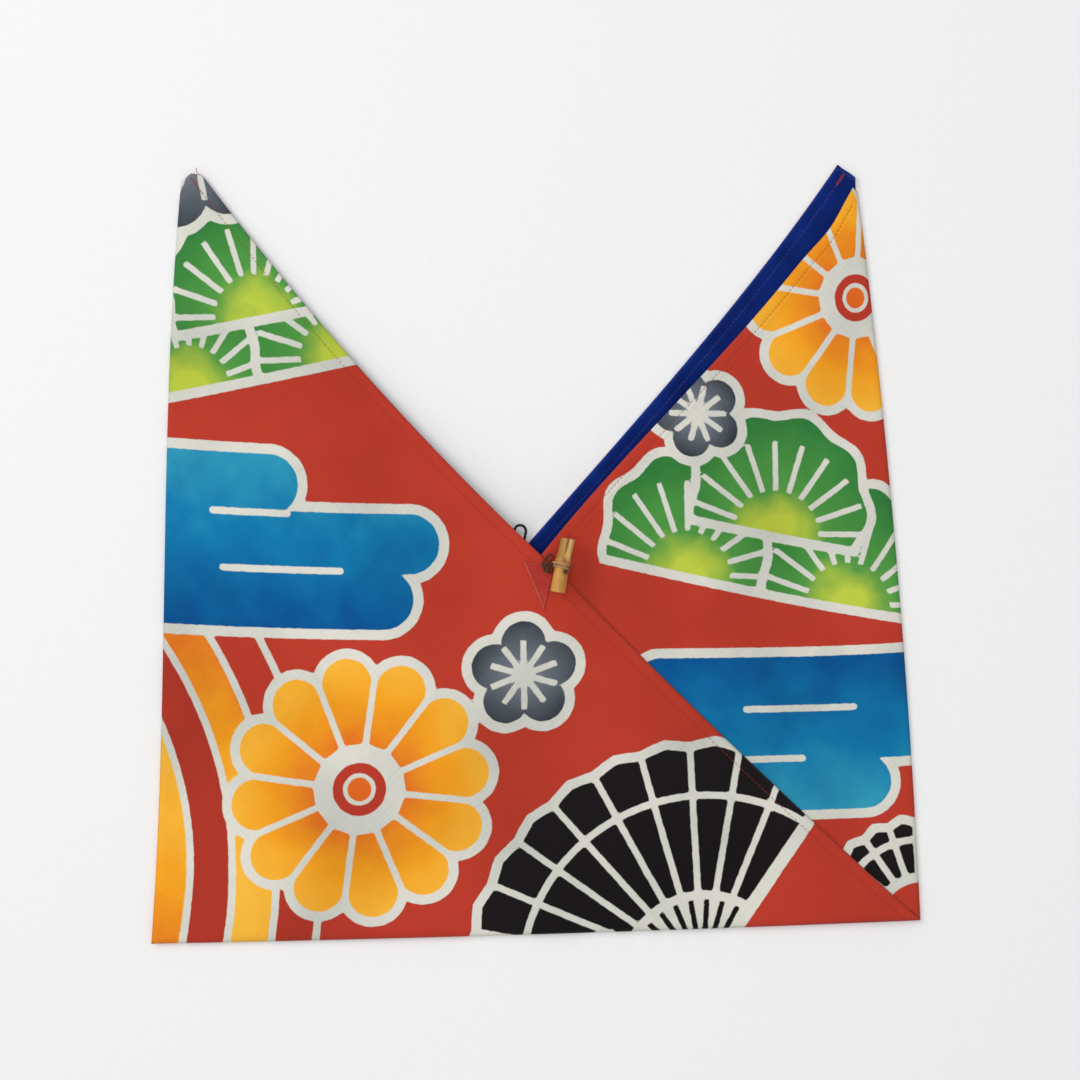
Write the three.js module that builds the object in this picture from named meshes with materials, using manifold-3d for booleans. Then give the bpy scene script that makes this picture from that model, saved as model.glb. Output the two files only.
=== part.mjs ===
// Lined knot bag, lying on its back with its front face up.
// Lengths are in millimetres: X runs to the right, Y towards the ears and Z up from the table.
// The plan is measured from the bottom of the front's mouth notch.

import * as THREE from 'three';
import { mergeVertices } from 'three/addons/utils/BufferGeometryUtils.js';
import Module from 'manifold-3d';

// Cloth plies and the clearance between neighbouring pieces
const OUTER_PLY = 0.5;
const LINING_PLY = 0.4;
const CLEARANCE = 0.3;
const LINING_SETBACK = 1.2;

// Lower corners of the bag
const LEFT_CORNER_REACH = 215;
const LEFT_CORNER_DROP = 214.5;
const RIGHT_CORNER_REACH = 209.5;
const RIGHT_CORNER_DROP = 201.5;

// Crosswise line on which the ears fold, how far the sides lean in there, and where the mouth edges meet it
const EAR_FOLD_RISE = 40;
const EAR_FOLD_GAP = 0.6;
const LEFT_LEAN_AT_FOLD = 8.5;
const RIGHT_LEAN_AT_FOLD = 18;
const LEFT_MOUTH_AT_FOLD = 40.5;
const RIGHT_MOUTH_AT_FOLD = 35;
const BACK_LEFT_MOUTH_AT_FOLD = 47;
const BACK_RIGHT_MOUTH_AT_FOLD = 22;

// Ear tips, leaning in from the lower corners
const LEFT_TIP_LEAN = 23;
const LEFT_TIP_RISE = 212;
const RIGHT_TIP_LEAN = 37.5;
const RIGHT_TIP_RISE = 205;
const BACK_RIGHT_TIP_LEAN = 45.5;
const BACK_RIGHT_TIP_RISE = 216.5;
const LEFT_TIP_SIDE_LEAN = 18;
const RIGHT_TIP_SIDE_LEAN = 37;
const TIP_SIDE_RISE = 208;

// Mouth notch: the back notch sits a little to the left, and the front is sprung up from the back
const BACK_NOTCH_SHIFT = 10.5;
const BACK_NOTCH_RISE = 2;
const MOUTH_HEIGHT = 17;

// Lapped seams and folded edges
const LAP_WIDTH = 10;
const FOLD_DEPTH = 1.5;
const FOLD_ARC_STEPS = 3;
const CORNER_TRIM = 3;

// Patch over the inner end of the lapped seam
const PATCH_PLY = 0.8;
const PATCH_WIDTH = 17.5;
const PATCH_DEPTH = 26;
const PATCH_TIP_SHIFT = 2;
const PATCH_DROP = 4;

// Bamboo toggle and the cord that holds it
const TOGGLE_LENGTH = 30;
const TOGGLE_TOP_DIAMETER = 7.6;
const TOGGLE_FOOT_DIAMETER = 8.2;
const TOGGLE_RIM = 0.5;
const TOGGLE_REACH = 11.1;
const TOGGLE_DROP = 8.3;
const TOGGLE_LEAN_DEG = 10;
const NODE_SWELLING = 0.55;
const NODE_SPREAD = 1.5;
const NODE_ABOVE_LASHING = 4;
const NODE_ABOVE_MIDDLE = 1.2;
const NODE_KINK_DEG = 3;
const SCAR_SWELLING = 0.35;
const SCAR_SPREAD = 0.35;
const SCAR_BELOW_NODE = 0.8;
const GROOVE_RADIUS = 1;
const GROOVE_DEPTH = 0.5;
const PITH_DIAMETER = 2.2;
const PITH_DEPTH = 2.5;
const LASHING_CORD = 1.2;
const LASHING_PITCH = 1.7;
const LASHING_TURNS = 2;
const KNOT_RADIUS = 2.4;
const KNOT_BEADS = 3;
const KNOT_CREASE = 0.08;
const ANCHOR_DIAMETER = 2;

// Closing loop, sewn into the back hem at the notch
const LOOP_CORD = 1.6;
const LOOP_RADIUS = 3.15;
const LOOP_ALONG_EDGE = 17.5;
const LOOP_OFF_EDGE = 1.4;
const LOOP_SLACK = 1.6;
const LOOP_OVERRUN = 0.5;
const LOOP_ROOT_RADIUS = 1.3;
const LOOP_ROOT_HEIGHT = 1.5;

// Facets of the round pieces
const CANE_SIDES = 20;
const CANE_STEPS = 9;
const CANE_CROWDING = 1.6;
const CAPSULE_STEPS = 3;
const LASHING_STEPS = 16;
const LASHING_SIDES = 6;
const KNOT_STEPS = 12;
const KNOT_SIDES = 12;
const ANCHOR_SIDES = 10;
const CORD_SIDES = 8;
const LOOP_STEPS = 12;
const BIGHT_ARC_STEPS = 6;

const wasm = await Module();
wasm.setup();

// Heights that follow from the plies
const panelPly = OUTER_PLY + CLEARANCE + LINING_PLY;
const layerStep = panelPly + CLEARANCE;
const tipHeight = panelPly + layerStep;
const leftCornerHeight = tipHeight + layerStep;
const lapRise = LAP_WIDTH * Math.SQRT2 * MOUTH_HEIGHT / RIGHT_CORNER_DROP;
const rightCornerHeight = tipHeight + layerStep + lapRise;

// Plan points
const point = (x, y) => new THREE.Vector2(x, y);
const notch = point(0, 0);
const backNotch = point(-BACK_NOTCH_SHIFT, BACK_NOTCH_RISE);
const lowerLeft = point(-LEFT_CORNER_REACH, -LEFT_CORNER_DROP);
const lowerRight = point(RIGHT_CORNER_REACH, -RIGHT_CORNER_DROP);
const leftSideFold = point(lowerLeft.x + LEFT_LEAN_AT_FOLD, EAR_FOLD_RISE);
const rightSideFold = point(lowerRight.x - RIGHT_LEAN_AT_FOLD, EAR_FOLD_RISE);
const leftMouthFold = point(-LEFT_MOUTH_AT_FOLD, EAR_FOLD_RISE);
const rightMouthFold = point(RIGHT_MOUTH_AT_FOLD, EAR_FOLD_RISE);
const backLeftMouthFold = point(-BACK_LEFT_MOUTH_AT_FOLD, EAR_FOLD_RISE);
const backRightMouthFold = point(BACK_RIGHT_MOUTH_AT_FOLD, EAR_FOLD_RISE);
const leftTip = point(lowerLeft.x + LEFT_TIP_LEAN, LEFT_TIP_RISE);
const rightTip = point(lowerRight.x - RIGHT_TIP_LEAN, RIGHT_TIP_RISE);
const backRightTip = point(lowerRight.x - BACK_RIGHT_TIP_LEAN, BACK_RIGHT_TIP_RISE);
const leftTipSide = point(lowerLeft.x + LEFT_TIP_SIDE_LEAN, TIP_SIDE_RISE);
const rightTipSide = point(lowerRight.x - RIGHT_TIP_SIDE_LEAN, TIP_SIDE_RISE);

const material = (color, roughness) => new THREE.MeshStandardMaterial({ color, roughness, metalness: 0 });
const dyedCotton = material(0xbb3728, 0.9);
const liningCotton = material(0x0a1c62, 0.9);
const patchCotton = material(0xa8453a, 0.9);
const bambooSkin = material(0xc8964a, 0.45);
const brownCord = material(0x5a3620, 0.8);
const darkCord = material(0x241d1a, 0.8);

// A height that varies evenly over the plan and takes the given values at three points
function slope(a, heightA, b, heightB, c, heightC) {
  const corner = (p, z) => new THREE.Vector3(p.x, p.y, z);
  const plane = new THREE.Plane().setFromCoplanarPoints(
    corner(a, heightA), corner(b, heightB), corner(c, heightC));
  const { normal, constant } = plane;
  return (x, y) => -(constant + normal.x * x + normal.y * y) / normal.z;
}

// Keeps the part of a polygon that lies to the left of the line from start to end, set back from it
function keepLeft(polygon, start, end, setback) {
  const along = end.clone().sub(start).normalize();
  const inside = (p) => along.cross(p.clone().sub(start)) - setback;
  const kept = [];
  polygon.forEach((p, i) => {
    const next = polygon[(i + 1) % polygon.length];
    const here = inside(p);
    const there = inside(next);
    if (here >= 0) kept.push(p);
    if (here * there < 0) kept.push(p.clone().lerp(next, here / (here - there)));
  });
  return kept;
}

// The polygon enclosed by a list of edges, each given as start, end and setback, anticlockwise
function enclosed(edges) {
  const far = 2 * (LEFT_CORNER_REACH + RIGHT_CORNER_REACH + LEFT_CORNER_DROP + LEFT_TIP_RISE);
  let polygon = [point(-far, -far), point(far, -far), point(far, far), point(-far, far)];
  for (const [start, end, setback] of edges) polygon = keepLeft(polygon, start, end, setback);
  return polygon;
}

// A flat sheet of the given outline and ply whose underside follows a height over the plan
function sheet(name, outline, ply, undersideAt, look) {
  const geometry = new THREE.ExtrudeGeometry(new THREE.Shape(outline), { depth: ply, bevelEnabled: false });
  const places = geometry.attributes.position;
  for (let i = 0; i < places.count; i += 1) {
    const lift = undersideAt(places.getX(i), places.getY(i));
    places.setZ(i, places.getZ(i) + lift);
  }
  geometry.computeVertexNormals();
  return named(name, geometry, look);
}

function named(name, geometry, look) {
  const mesh = new THREE.Mesh(geometry, look);
  mesh.name = name;
  return mesh;
}

// A round cord along a curve
function cord(name, curve, diameter, steps, sides, look) {
  const round = new THREE.Shape();
  for (let i = 0; i < sides; i += 1) {
    const angle = 2 * Math.PI * i / sides;
    const [x, y] = [Math.cos(angle) * diameter / 2, Math.sin(angle) * diameter / 2];
    if (i === 0) round.moveTo(x, y);
    else round.lineTo(x, y);
  }
  round.closePath();
  return named(name, new THREE.ExtrudeGeometry(round, { steps, extrudePath: curve }), look);
}

// Edges that the panels share, each with its own setback
const sideSetback = FOLD_DEPTH + CLEARANCE;
const creaseSetback = CLEARANCE / 2;
const foldSetback = EAR_FOLD_GAP / 2;
const belowFold = [rightSideFold, leftSideFold, foldSetback];
const aboveFold = [leftSideFold, rightSideFold, foldSetback];
const bottomEdge = [lowerLeft, lowerRight, sideSetback];
const leftEdge = [leftSideFold, lowerLeft, sideSetback];
const rightEdge = [lowerRight, rightSideFold, sideSetback];
const leftEarEdge = [leftTipSide, leftSideFold, sideSetback];
const rightEarEdge = [rightSideFold, rightTipSide, sideSetback];

// The blunt end of an ear, square to its mouth edge
function tipEdge(mouthFold, tip) {
  const along = tip.clone().sub(mouthFold);
  return [tip, point(tip.x - along.y, tip.y + along.x), 0];
}

// Heights of the front's top face and of the back's underside
const frontLeftTop = slope(leftTip, tipHeight, lowerLeft, leftCornerHeight, notch, MOUTH_HEIGHT);
const frontBaseTop = slope(lowerLeft, leftCornerHeight, lowerRight, rightCornerHeight, notch, MOUTH_HEIGHT);
const frontRightTop = slope(
  rightTip, tipHeight, lowerRight, tipHeight, notch, MOUTH_HEIGHT - layerStep - lapRise);
const backLeftFloor = slope(leftTipSide, 0, lowerLeft, layerStep, backNotch, layerStep);
const tableFloor = () => 0;

// Each panel: its edges, the mouth edge whose lining is set back, and how its two plies are stacked
const panels = [
  { name: 'front_left', mouth: [notch, leftMouthFold], top: frontLeftTop,
    edges: [leftEdge, belowFold, [lowerLeft, notch, creaseSetback]] },
  { name: 'front_base', mouth: [lowerRight, notch], top: frontBaseTop,
    edges: [bottomEdge, [notch, lowerLeft, creaseSetback]] },
  { name: 'front_right', mouth: [rightMouthFold, notch], top: frontRightTop,
    edges: [rightEdge, belowFold, bottomEdge, [notch, lowerRight, -LAP_WIDTH]] },
  { name: 'back_left', mouth: [backNotch, backLeftMouthFold], floor: backLeftFloor,
    edges: [leftEdge, belowFold, bottomEdge, [lowerLeft, backNotch, -LAP_WIDTH]] },
  { name: 'back_base', mouth: [backNotch, lowerLeft], floor: tableFloor,
    edges: [bottomEdge, [lowerRight, backNotch, creaseSetback]] },
  { name: 'back_right', mouth: [backRightMouthFold, backNotch], floor: tableFloor,
    edges: [rightEdge, belowFold, [backNotch, lowerRight, creaseSetback]] },
];
const leftEarPanels = [
  { name: 'front_left_ear', mouth: [leftMouthFold, leftTip], top: frontLeftTop,
    edges: [leftEarEdge, aboveFold, tipEdge(leftMouthFold, leftTip)] },
  { name: 'back_left_ear', mouth: [backLeftMouthFold, leftTip], floor: backLeftFloor,
    edges: [leftEarEdge, aboveFold, tipEdge(leftMouthFold, leftTip)] },
];
const rightEarPanels = [
  { name: 'front_right_ear', mouth: [rightTip, rightMouthFold], top: frontRightTop,
    edges: [rightEarEdge, aboveFold] },
  { name: 'back_right_ear', mouth: [backRightTip, backRightMouthFold], floor: tableFloor,
    edges: [rightEarEdge, aboveFold, tipEdge(backRightMouthFold, backRightTip)] },
];

// The outer ply of a panel and the lining ply behind it
function panelPlies({ name, mouth, top, floor, edges }) {
  const raised = (heightAt, lift) => (x, y) => heightAt(x, y) + lift;
  const outerFloor = top ? raised(top, -OUTER_PLY) : floor;
  const liningFloor = top ? raised(top, -panelPly) : raised(floor, OUTER_PLY + CLEARANCE);
  const outerOutline = enclosed([...edges, [...mouth, 0]]);
  const liningOutline = enclosed([...edges, [...mouth, LINING_SETBACK]]);
  return [
    sheet(`outer_${name}`, outerOutline, OUTER_PLY, outerFloor, dyedCotton),
    sheet(`lining_${name}`, liningOutline, LINING_PLY, liningFloor, liningCotton),
  ];
}

// The rounded edge where front cloth turns into back cloth; its outside is on the left of its run
function foldedEdge(name, from, to, trimFrom, trimTo, topAt, floorAt) {
  const along = to.clone().sub(from).normalize();
  const outward = point(-along.y, along.x);
  const start = from.clone().addScaledVector(along, trimFrom);
  const end = to.clone().addScaledVector(along, -trimTo);
  const section = new THREE.Shape();
  section.absellipse(0, 0.5, FOLD_DEPTH, 0.5, -Math.PI / 2, Math.PI / 2, false, 0);
  const geometry = new THREE.ExtrudeGeometry(
    section, { depth: 1, bevelEnabled: false, curveSegments: FOLD_ARC_STEPS });
  const places = geometry.attributes.position;
  for (let i = 0; i < places.count; i += 1) {
    const [depth, rise, run] = [places.getX(i), places.getY(i), places.getZ(i)];
    const edge = start.clone().lerp(end, run);
    const spot = edge.clone().addScaledVector(outward, depth - FOLD_DEPTH);
    const height = THREE.MathUtils.lerp(floorAt(edge.x, edge.y), topAt(edge.x, edge.y), rise);
    places.setXYZ(i, spot.x, spot.y, height);
  }
  geometry.computeVertexNormals();
  return named(name, geometry, dyedCotton);
}

function bodyFolds() {
  return [
    foldedEdge('bottom_fold', lowerRight, lowerLeft, CORNER_TRIM, CORNER_TRIM, frontBaseTop, tableFloor),
    foldedEdge('left_fold', lowerLeft, leftSideFold, CORNER_TRIM, foldSetback, frontLeftTop, backLeftFloor),
    foldedEdge('right_fold', rightSideFold, lowerRight, foldSetback, CORNER_TRIM, frontRightTop, tableFloor),
  ];
}

// A triangle of folded cloth over the inner end of the lapped seam
function cornerPatch() {
  const corners = [
    point(-PATCH_WIDTH / 2, -PATCH_DROP),
    point(PATCH_TIP_SHIFT, -PATCH_DROP - PATCH_DEPTH),
    point(PATCH_WIDTH / 2, -PATCH_DROP),
  ];
  const underside = (x, y) => frontBaseTop(x, y) + CLEARANCE;
  return sheet('mouth_corner_patch', corners, PATCH_PLY, underside, patchCotton);
}

// Toggle sizes along its own axis, which is measured from the middle of its lashing
const nodePlace = NODE_ABOVE_LASHING;
const togglePlace = { foot: nodePlace - NODE_ABOVE_MIDDLE - TOGGLE_LENGTH / 2 };
togglePlace.top = togglePlace.foot + TOGGLE_LENGTH;

// Radius of the cane: an even taper, the swollen node and the sharp scar just below it
function caneRadius(along) {
  const share = (along - togglePlace.foot) / TOGGLE_LENGTH;
  const taper = THREE.MathUtils.lerp(TOGGLE_FOOT_DIAMETER, TOGGLE_TOP_DIAMETER, share) / 2;
  const hump = (height, centre, spread) => height * Math.exp(-(((along - centre) / spread) ** 2));
  const swelling = hump(NODE_SWELLING, nodePlace, NODE_SPREAD);
  return taper + swelling + hump(SCAR_SWELLING, nodePlace - SCAR_BELOW_NODE, SCAR_SPREAD);
}

// Half a meridian of the cane, with its points drawn together near the node
function caneProfile() {
  const low = togglePlace.foot + TOGGLE_RIM;
  const high = togglePlace.top - TOGGLE_RIM;
  const profile = [point(0, togglePlace.foot), point(caneRadius(low) - TOGGLE_RIM, togglePlace.foot)];
  for (let i = -CANE_STEPS; i <= CANE_STEPS; i += 1) {
    const share = (Math.abs(i) / CANE_STEPS) ** CANE_CROWDING;
    const along = THREE.MathUtils.lerp(nodePlace, i < 0 ? low : high, share);
    profile.push(point(caneRadius(along), along));
  }
  profile.push(point(caneRadius(high) - TOGGLE_RIM, togglePlace.top), point(0, togglePlace.top));
  return profile;
}

// A closed geometry as a solid that can be cut
function solid(geometry) {
  const bare = geometry.clone();
  bare.deleteAttribute('normal');
  bare.deleteAttribute('uv');
  const merged = mergeVertices(bare);
  const corners = merged.index.array;
  const kept = [];
  for (let i = 0; i < corners.length; i += 3) {
    const [a, b, c] = corners.slice(i, i + 3);
    if (a !== b && b !== c && c !== a) kept.push(a, b, c);
  }
  const vertProperties = new Float32Array(merged.attributes.position.array);
  return new wasm.Manifold(new wasm.Mesh({ numProp: 3, vertProperties, triVerts: new Uint32Array(kept) }));
}

function geometryOf(cut) {
  const mesh = cut.getMesh();
  const geometry = new THREE.BufferGeometry();
  geometry.setAttribute('position', new THREE.BufferAttribute(new Float32Array(mesh.vertProperties), 3));
  geometry.setIndex(Array.from(mesh.triVerts));
  geometry.computeVertexNormals();
  return geometry;
}

// A length of cane with the hollow of its pith at both ends and the groove of a side bud above the node
function bambooToggle() {
  const pith = new THREE.CylinderGeometry(PITH_DIAMETER / 2, PITH_DIAMETER / 2, 2 * PITH_DEPTH, CANE_SIDES / 2);
  const groove = new THREE.CapsuleGeometry(GROOVE_RADIUS, TOGGLE_LENGTH, CAPSULE_STEPS, CANE_SIDES / 2);
  const grooveFoot = nodePlace + NODE_SPREAD;
  const grooveLift = TOGGLE_TOP_DIAMETER / 2 + GROOVE_RADIUS - GROOVE_DEPTH;
  const cane = solid(new THREE.LatheGeometry(caneProfile(), CANE_SIDES))
    .subtract(solid(pith.clone().translate(0, togglePlace.foot, 0)))
    .subtract(solid(pith.clone().translate(0, togglePlace.top, 0)))
    .subtract(solid(groove.translate(0, grooveFoot + GROOVE_RADIUS + TOGGLE_LENGTH / 2, grooveLift)));
  const geometry = geometryOf(cane);
  const places = geometry.attributes.position;
  const kink = Math.tan(THREE.MathUtils.degToRad(NODE_KINK_DEG));
  for (let i = 0; i < places.count; i += 1) {
    const aboveNode = Math.max(0, places.getY(i) - nodePlace);
    places.setX(i, places.getX(i) + aboveNode * kink);
  }
  return named('bamboo_toggle', geometry, bambooSkin);
}

// The lashing's centreline, wound round the cane
const lashingHalf = LASHING_TURNS * LASHING_PITCH / 2;
const lashingRadius = caneRadius(lashingHalf + LASHING_CORD / 2) + CLEARANCE + LASHING_CORD / 2;

class Winding extends THREE.Curve {
  getPoint(share, target = new THREE.Vector3()) {
    const angle = Math.PI + 2 * Math.PI * LASHING_TURNS * share;
    const along = (share - 0.5) * 2 * lashingHalf;
    return target.set(Math.cos(angle) * lashingRadius, along, Math.sin(angle) * lashingRadius);
  }
}

// Least distance between one turn of the lashing and the next, cord surface to cord surface
function leastWindingGap(winding) {
  const perTurn = LASHING_STEPS;
  const points = winding.getPoints(LASHING_TURNS * perTurn);
  let least = Infinity;
  points.forEach((p, i) => {
    for (const q of points.slice(i + perTurn / 2)) least = Math.min(least, p.distanceTo(q));
  });
  return least - LASHING_CORD;
}

function toggleLashing() {
  const winding = new Winding();
  console.log(`least gap between lashing turns: ${leastWindingGap(winding).toFixed(2)} mm`);
  return cord('toggle_lashing', winding, LASHING_CORD, LASHING_TURNS * LASHING_STEPS, LASHING_SIDES, brownCord);
}

// A ball of wound cord: its outline has one bulge for each wrap
function toggleKnot() {
  const profile = [];
  for (let i = 0; i <= KNOT_STEPS; i += 1) {
    const angle = Math.PI * i / KNOT_STEPS;
    const bulge = 1 - KNOT_CREASE * Math.cos(KNOT_BEADS * angle) ** 2;
    const radius = KNOT_RADIUS * bulge;
    const across = i === 0 || i === KNOT_STEPS ? 0 : radius * Math.sin(angle);
    profile.push(point(across, -radius * Math.cos(angle)));
  }
  return named('toggle_knot', new THREE.LatheGeometry(profile, KNOT_SIDES), brownCord);
}

// Where the toggle, its knot and its anchor sit above the patch
const lean = THREE.MathUtils.degToRad(-TOGGLE_LEAN_DEG);
const lashingReach = lashingRadius + LASHING_CORD / 2;
const patchTop = (x, y) => frontBaseTop(x, y) + CLEARANCE + PATCH_PLY;
const toggleHeight = patchTop(0, -PATCH_DROP) + CLEARANCE + lashingReach;
const togglePivot = new THREE.Vector3(TOGGLE_REACH, -TOGGLE_DROP, toggleHeight);
const lashingSweep = Math.hypot(lashingRadius, lashingHalf) + LASHING_CORD / 2;
const knotDistance = lashingSweep + CLEARANCE + KNOT_RADIUS;
const knotPivot = togglePivot.clone().add(
  new THREE.Vector3(-Math.cos(lean), -Math.sin(lean), 0).multiplyScalar(knotDistance));

// The stub of cord that is sewn through the patch and carries the knot
function toggleAnchor() {
  const foot = patchTop(knotPivot.x, knotPivot.y + ANCHOR_DIAMETER / 2) + CLEARANCE;
  const top = knotPivot.z - KNOT_RADIUS - CLEARANCE;
  const radius = ANCHOR_DIAMETER / 2;
  const stub = new THREE.CylinderGeometry(radius, radius, top - foot, ANCHOR_SIDES);
  const mesh = named('toggle_anchor', stub.rotateX(Math.PI / 2), brownCord);
  mesh.position.set(knotPivot.x, knotPivot.y, (top + foot) / 2);
  return mesh;
}

// The loop's bight turns on a line beside the front's left mouth edge
const edgeAlong = leftMouthFold.clone().sub(notch).normalize();
const edgeOutward = point(edgeAlong.y, -edgeAlong.x);
const bightCentre = notch.clone().addScaledVector(edgeAlong, LOOP_ALONG_EDGE)
  .addScaledVector(edgeOutward, LOOP_OFF_EDGE);
const mouthUnderside = frontLeftTop(bightCentre.x, bightCentre.y) - panelPly;
const bightHeight = mouthUnderside - LOOP_SLACK - LOOP_CORD / 2;
const bightPivot = new THREE.Vector3(bightCentre.x, bightCentre.y, bightHeight);
const bightEndAngle = Math.atan2(edgeAlong.y, edgeAlong.x);
const bightLeg = LOOP_RADIUS * edgeOutward.x / edgeOutward.y;
const tailSetback = Math.hypot(LOOP_OVERRUN, LOOP_CORD / 2) + CLEARANCE;

// A point of the loop's round end, at an angle from the right and at a depth below the bight
function aroundBight(angle, depth = 0) {
  const [x, y] = [Math.cos(angle) * LOOP_RADIUS, Math.sin(angle) * LOOP_RADIUS];
  return bightPivot.clone().add(new THREE.Vector3(x, y, -depth));
}

// A point of the loop's right leg, at a distance past the line that the bight turns on
function alongLeg(past) {
  return aroundBight(0).add(new THREE.Vector3(0, -bightLeg - past / edgeOutward.y, 0));
}

// The free round end of the loop: a straight leg on the right, then an arc to just past the mouth edge
function loopBight() {
  const legFoot = alongLeg(LOOP_OVERRUN);
  const points = [legFoot, legFoot.clone().lerp(aroundBight(0), 0.5)];
  const end = bightEndAngle + LOOP_OVERRUN / LOOP_RADIUS;
  for (let i = 0; i <= BIGHT_ARC_STEPS; i += 1) points.push(aroundBight(end * i / BIGHT_ARC_STEPS));
  return cord('loop_bight', new THREE.CatmullRomCurve3(points), LOOP_CORD, LOOP_STEPS, CORD_SIDES, darkCord);
}

// The two legs that run from the bight down to the back hem, where they turn round each other
function loopTail() {
  const leftHem = backLeftMouthFold.clone().sub(backNotch).normalize();
  const rightHem = backRightMouthFold.clone().sub(backNotch).normalize();
  const halfNotch = Math.acos(leftHem.dot(rightHem)) / 2;
  const rootSeat = (LOOP_ROOT_RADIUS + LOOP_CORD / 2 + CLEARANCE) / Math.sin(halfNotch);
  const root = backNotch.clone().addScaledVector(leftHem.add(rightHem).normalize(), rootSeat);
  const atRoot = (x, y, lift) => new THREE.Vector3(root.x + x, root.y + y, LOOP_ROOT_HEIGHT + lift);
  const leftStart = aroundBight(bightEndAngle + tailSetback / LOOP_RADIUS);
  const leftTurn = aroundBight(Math.PI, LOOP_CORD / 2);
  const rightEnd = alongLeg(tailSetback);
  const rootLeft = atRoot(-LOOP_ROOT_RADIUS, LOOP_ROOT_RADIUS / 2, LOOP_CORD / 2);
  const rootRight = atRoot(LOOP_ROOT_RADIUS, LOOP_ROOT_RADIUS / 2, LOOP_CORD / 2);
  const route = [
    leftStart,
    leftTurn,
    leftTurn.clone().lerp(rootLeft, 0.5),
    rootLeft,
    atRoot(0, -LOOP_ROOT_RADIUS, 0),
    rootRight,
    rightEnd.clone().lerp(rootRight, 0.5),
    rightEnd,
  ];
  return cord('loop_tail', new THREE.CatmullRomCurve3(route), LOOP_CORD, 2 * LOOP_STEPS, CORD_SIDES, darkCord);
}

// A group that turns about a pivot, holding meshes that were placed in the bag's frame
function turning(pivot, meshes) {
  const group = new THREE.Group();
  group.position.copy(pivot);
  for (const mesh of meshes) {
    mesh.position.sub(pivot);
    group.add(mesh);
  }
  return group;
}

function leftEar() {
  const pivot = new THREE.Vector3(leftMouthFold.x, leftMouthFold.y, frontLeftTop(...leftMouthFold.toArray()));
  const fold = foldedEdge(
    'left_ear_fold', leftSideFold, leftTipSide, foldSetback, CORNER_TRIM, frontLeftTop, backLeftFloor);
  return turning(pivot, [...leftEarPanels.flatMap(panelPlies), fold]);
}

function rightEar() {
  const pivot = new THREE.Vector3(rightMouthFold.x, rightMouthFold.y, frontRightTop(...rightMouthFold.toArray()));
  const fold = foldedEdge(
    'right_ear_fold', rightTipSide, rightSideFold, CORNER_TRIM, foldSetback, frontRightTop, tableFloor);
  return turning(pivot, [...rightEarPanels.flatMap(panelPlies), fold]);
}

// The knot carries the toggle, which leans in its own group
function toggleOnCord() {
  const toggle = new THREE.Group();
  toggle.position.copy(togglePivot).sub(knotPivot);
  toggle.rotation.z = lean;
  toggle.add(bambooToggle(), toggleLashing());
  const knot = toggleKnot();
  const shank = new THREE.Group();
  shank.position.copy(knotPivot);
  shank.add(knot, toggle);
  return shank;
}

const bag = new THREE.Group();
bag.add(...panels.flatMap(panelPlies), ...bodyFolds(), cornerPatch(), toggleAnchor(), loopTail());
bag.add(leftEar(), rightEar(), toggleOnCord(), turning(bightPivot, [loopBight()]));

export default bag;
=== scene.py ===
# A knotted lunch bag: one lined strip of dyed cotton, folded flat, with a bamboo toggle and a cord loop
import math

import bpy
import numpy as np
from mathutils import Matrix, Vector, noise


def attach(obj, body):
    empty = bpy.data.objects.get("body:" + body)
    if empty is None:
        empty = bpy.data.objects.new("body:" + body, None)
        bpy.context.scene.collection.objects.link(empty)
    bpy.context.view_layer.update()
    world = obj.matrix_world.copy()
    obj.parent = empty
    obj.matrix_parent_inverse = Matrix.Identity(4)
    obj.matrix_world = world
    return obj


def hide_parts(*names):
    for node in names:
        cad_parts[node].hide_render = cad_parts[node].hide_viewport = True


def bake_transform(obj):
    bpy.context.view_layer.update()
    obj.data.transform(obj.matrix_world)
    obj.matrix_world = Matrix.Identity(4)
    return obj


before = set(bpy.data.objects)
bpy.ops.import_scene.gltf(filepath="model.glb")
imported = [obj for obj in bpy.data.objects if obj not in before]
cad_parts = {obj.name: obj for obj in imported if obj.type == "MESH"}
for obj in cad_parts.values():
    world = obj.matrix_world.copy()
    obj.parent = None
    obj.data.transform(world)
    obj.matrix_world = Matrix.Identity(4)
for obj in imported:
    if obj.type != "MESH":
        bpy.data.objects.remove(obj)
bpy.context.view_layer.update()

MM = 0.001
TINY = 1e-6

# Sizes of the strip and its plies, in millimetres
STRIP_WIDTH = 300.0
HALF_FLAT = STRIP_WIDTH / math.sqrt(2)
YARN_PITCH = 0.55
OUTER_CELL = 1.5
LINING_CELL = 3.0
OUTER_PLY = 0.5
LINING_PLY = 0.4
LINING_DEPTH = 0.8
LINING_SETBACK = 0.8
LINING_EDGING = 0.3
LINING_INSET = 0.9
RIGHT_TIP_INSET = -0.5
RIGHT_TIP_EDGING = 0.8
RIGHT_TIP_BARE = 21.0
RIGHT_TIP_FADE = 4.5
RIGHT_TIP_LIFT = 0.7
LAP = 10.5
LAP_TRIM = 7.5
EAR_CUT = 12.0
FRONT_RIGHT_EAR_CUT = 4.5
BACK_RIGHT_EAR_CUT = 15.0
EAR_CHAMFER = 4.5

# Corners of the folded bag as it lies, in millimetres; the ear peaks are before they are cut blunt
NOTCH = np.array((0.0, 0.0))
BACK_NOTCH = np.array((-10.5, 2.0))
LOWER_LEFT = np.array((-215.0, -214.5))
LOWER_RIGHT = np.array((209.5, -201.5))
LEFT_PEAK = np.array((-197.0, 223.1))
BACK_LEFT_PEAK = np.array((-196.6, 222.4))
RIGHT_PEAK = np.array((174.2, 206.5))
BACK_RIGHT_PEAK = np.array((171.4, 226.6))

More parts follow.
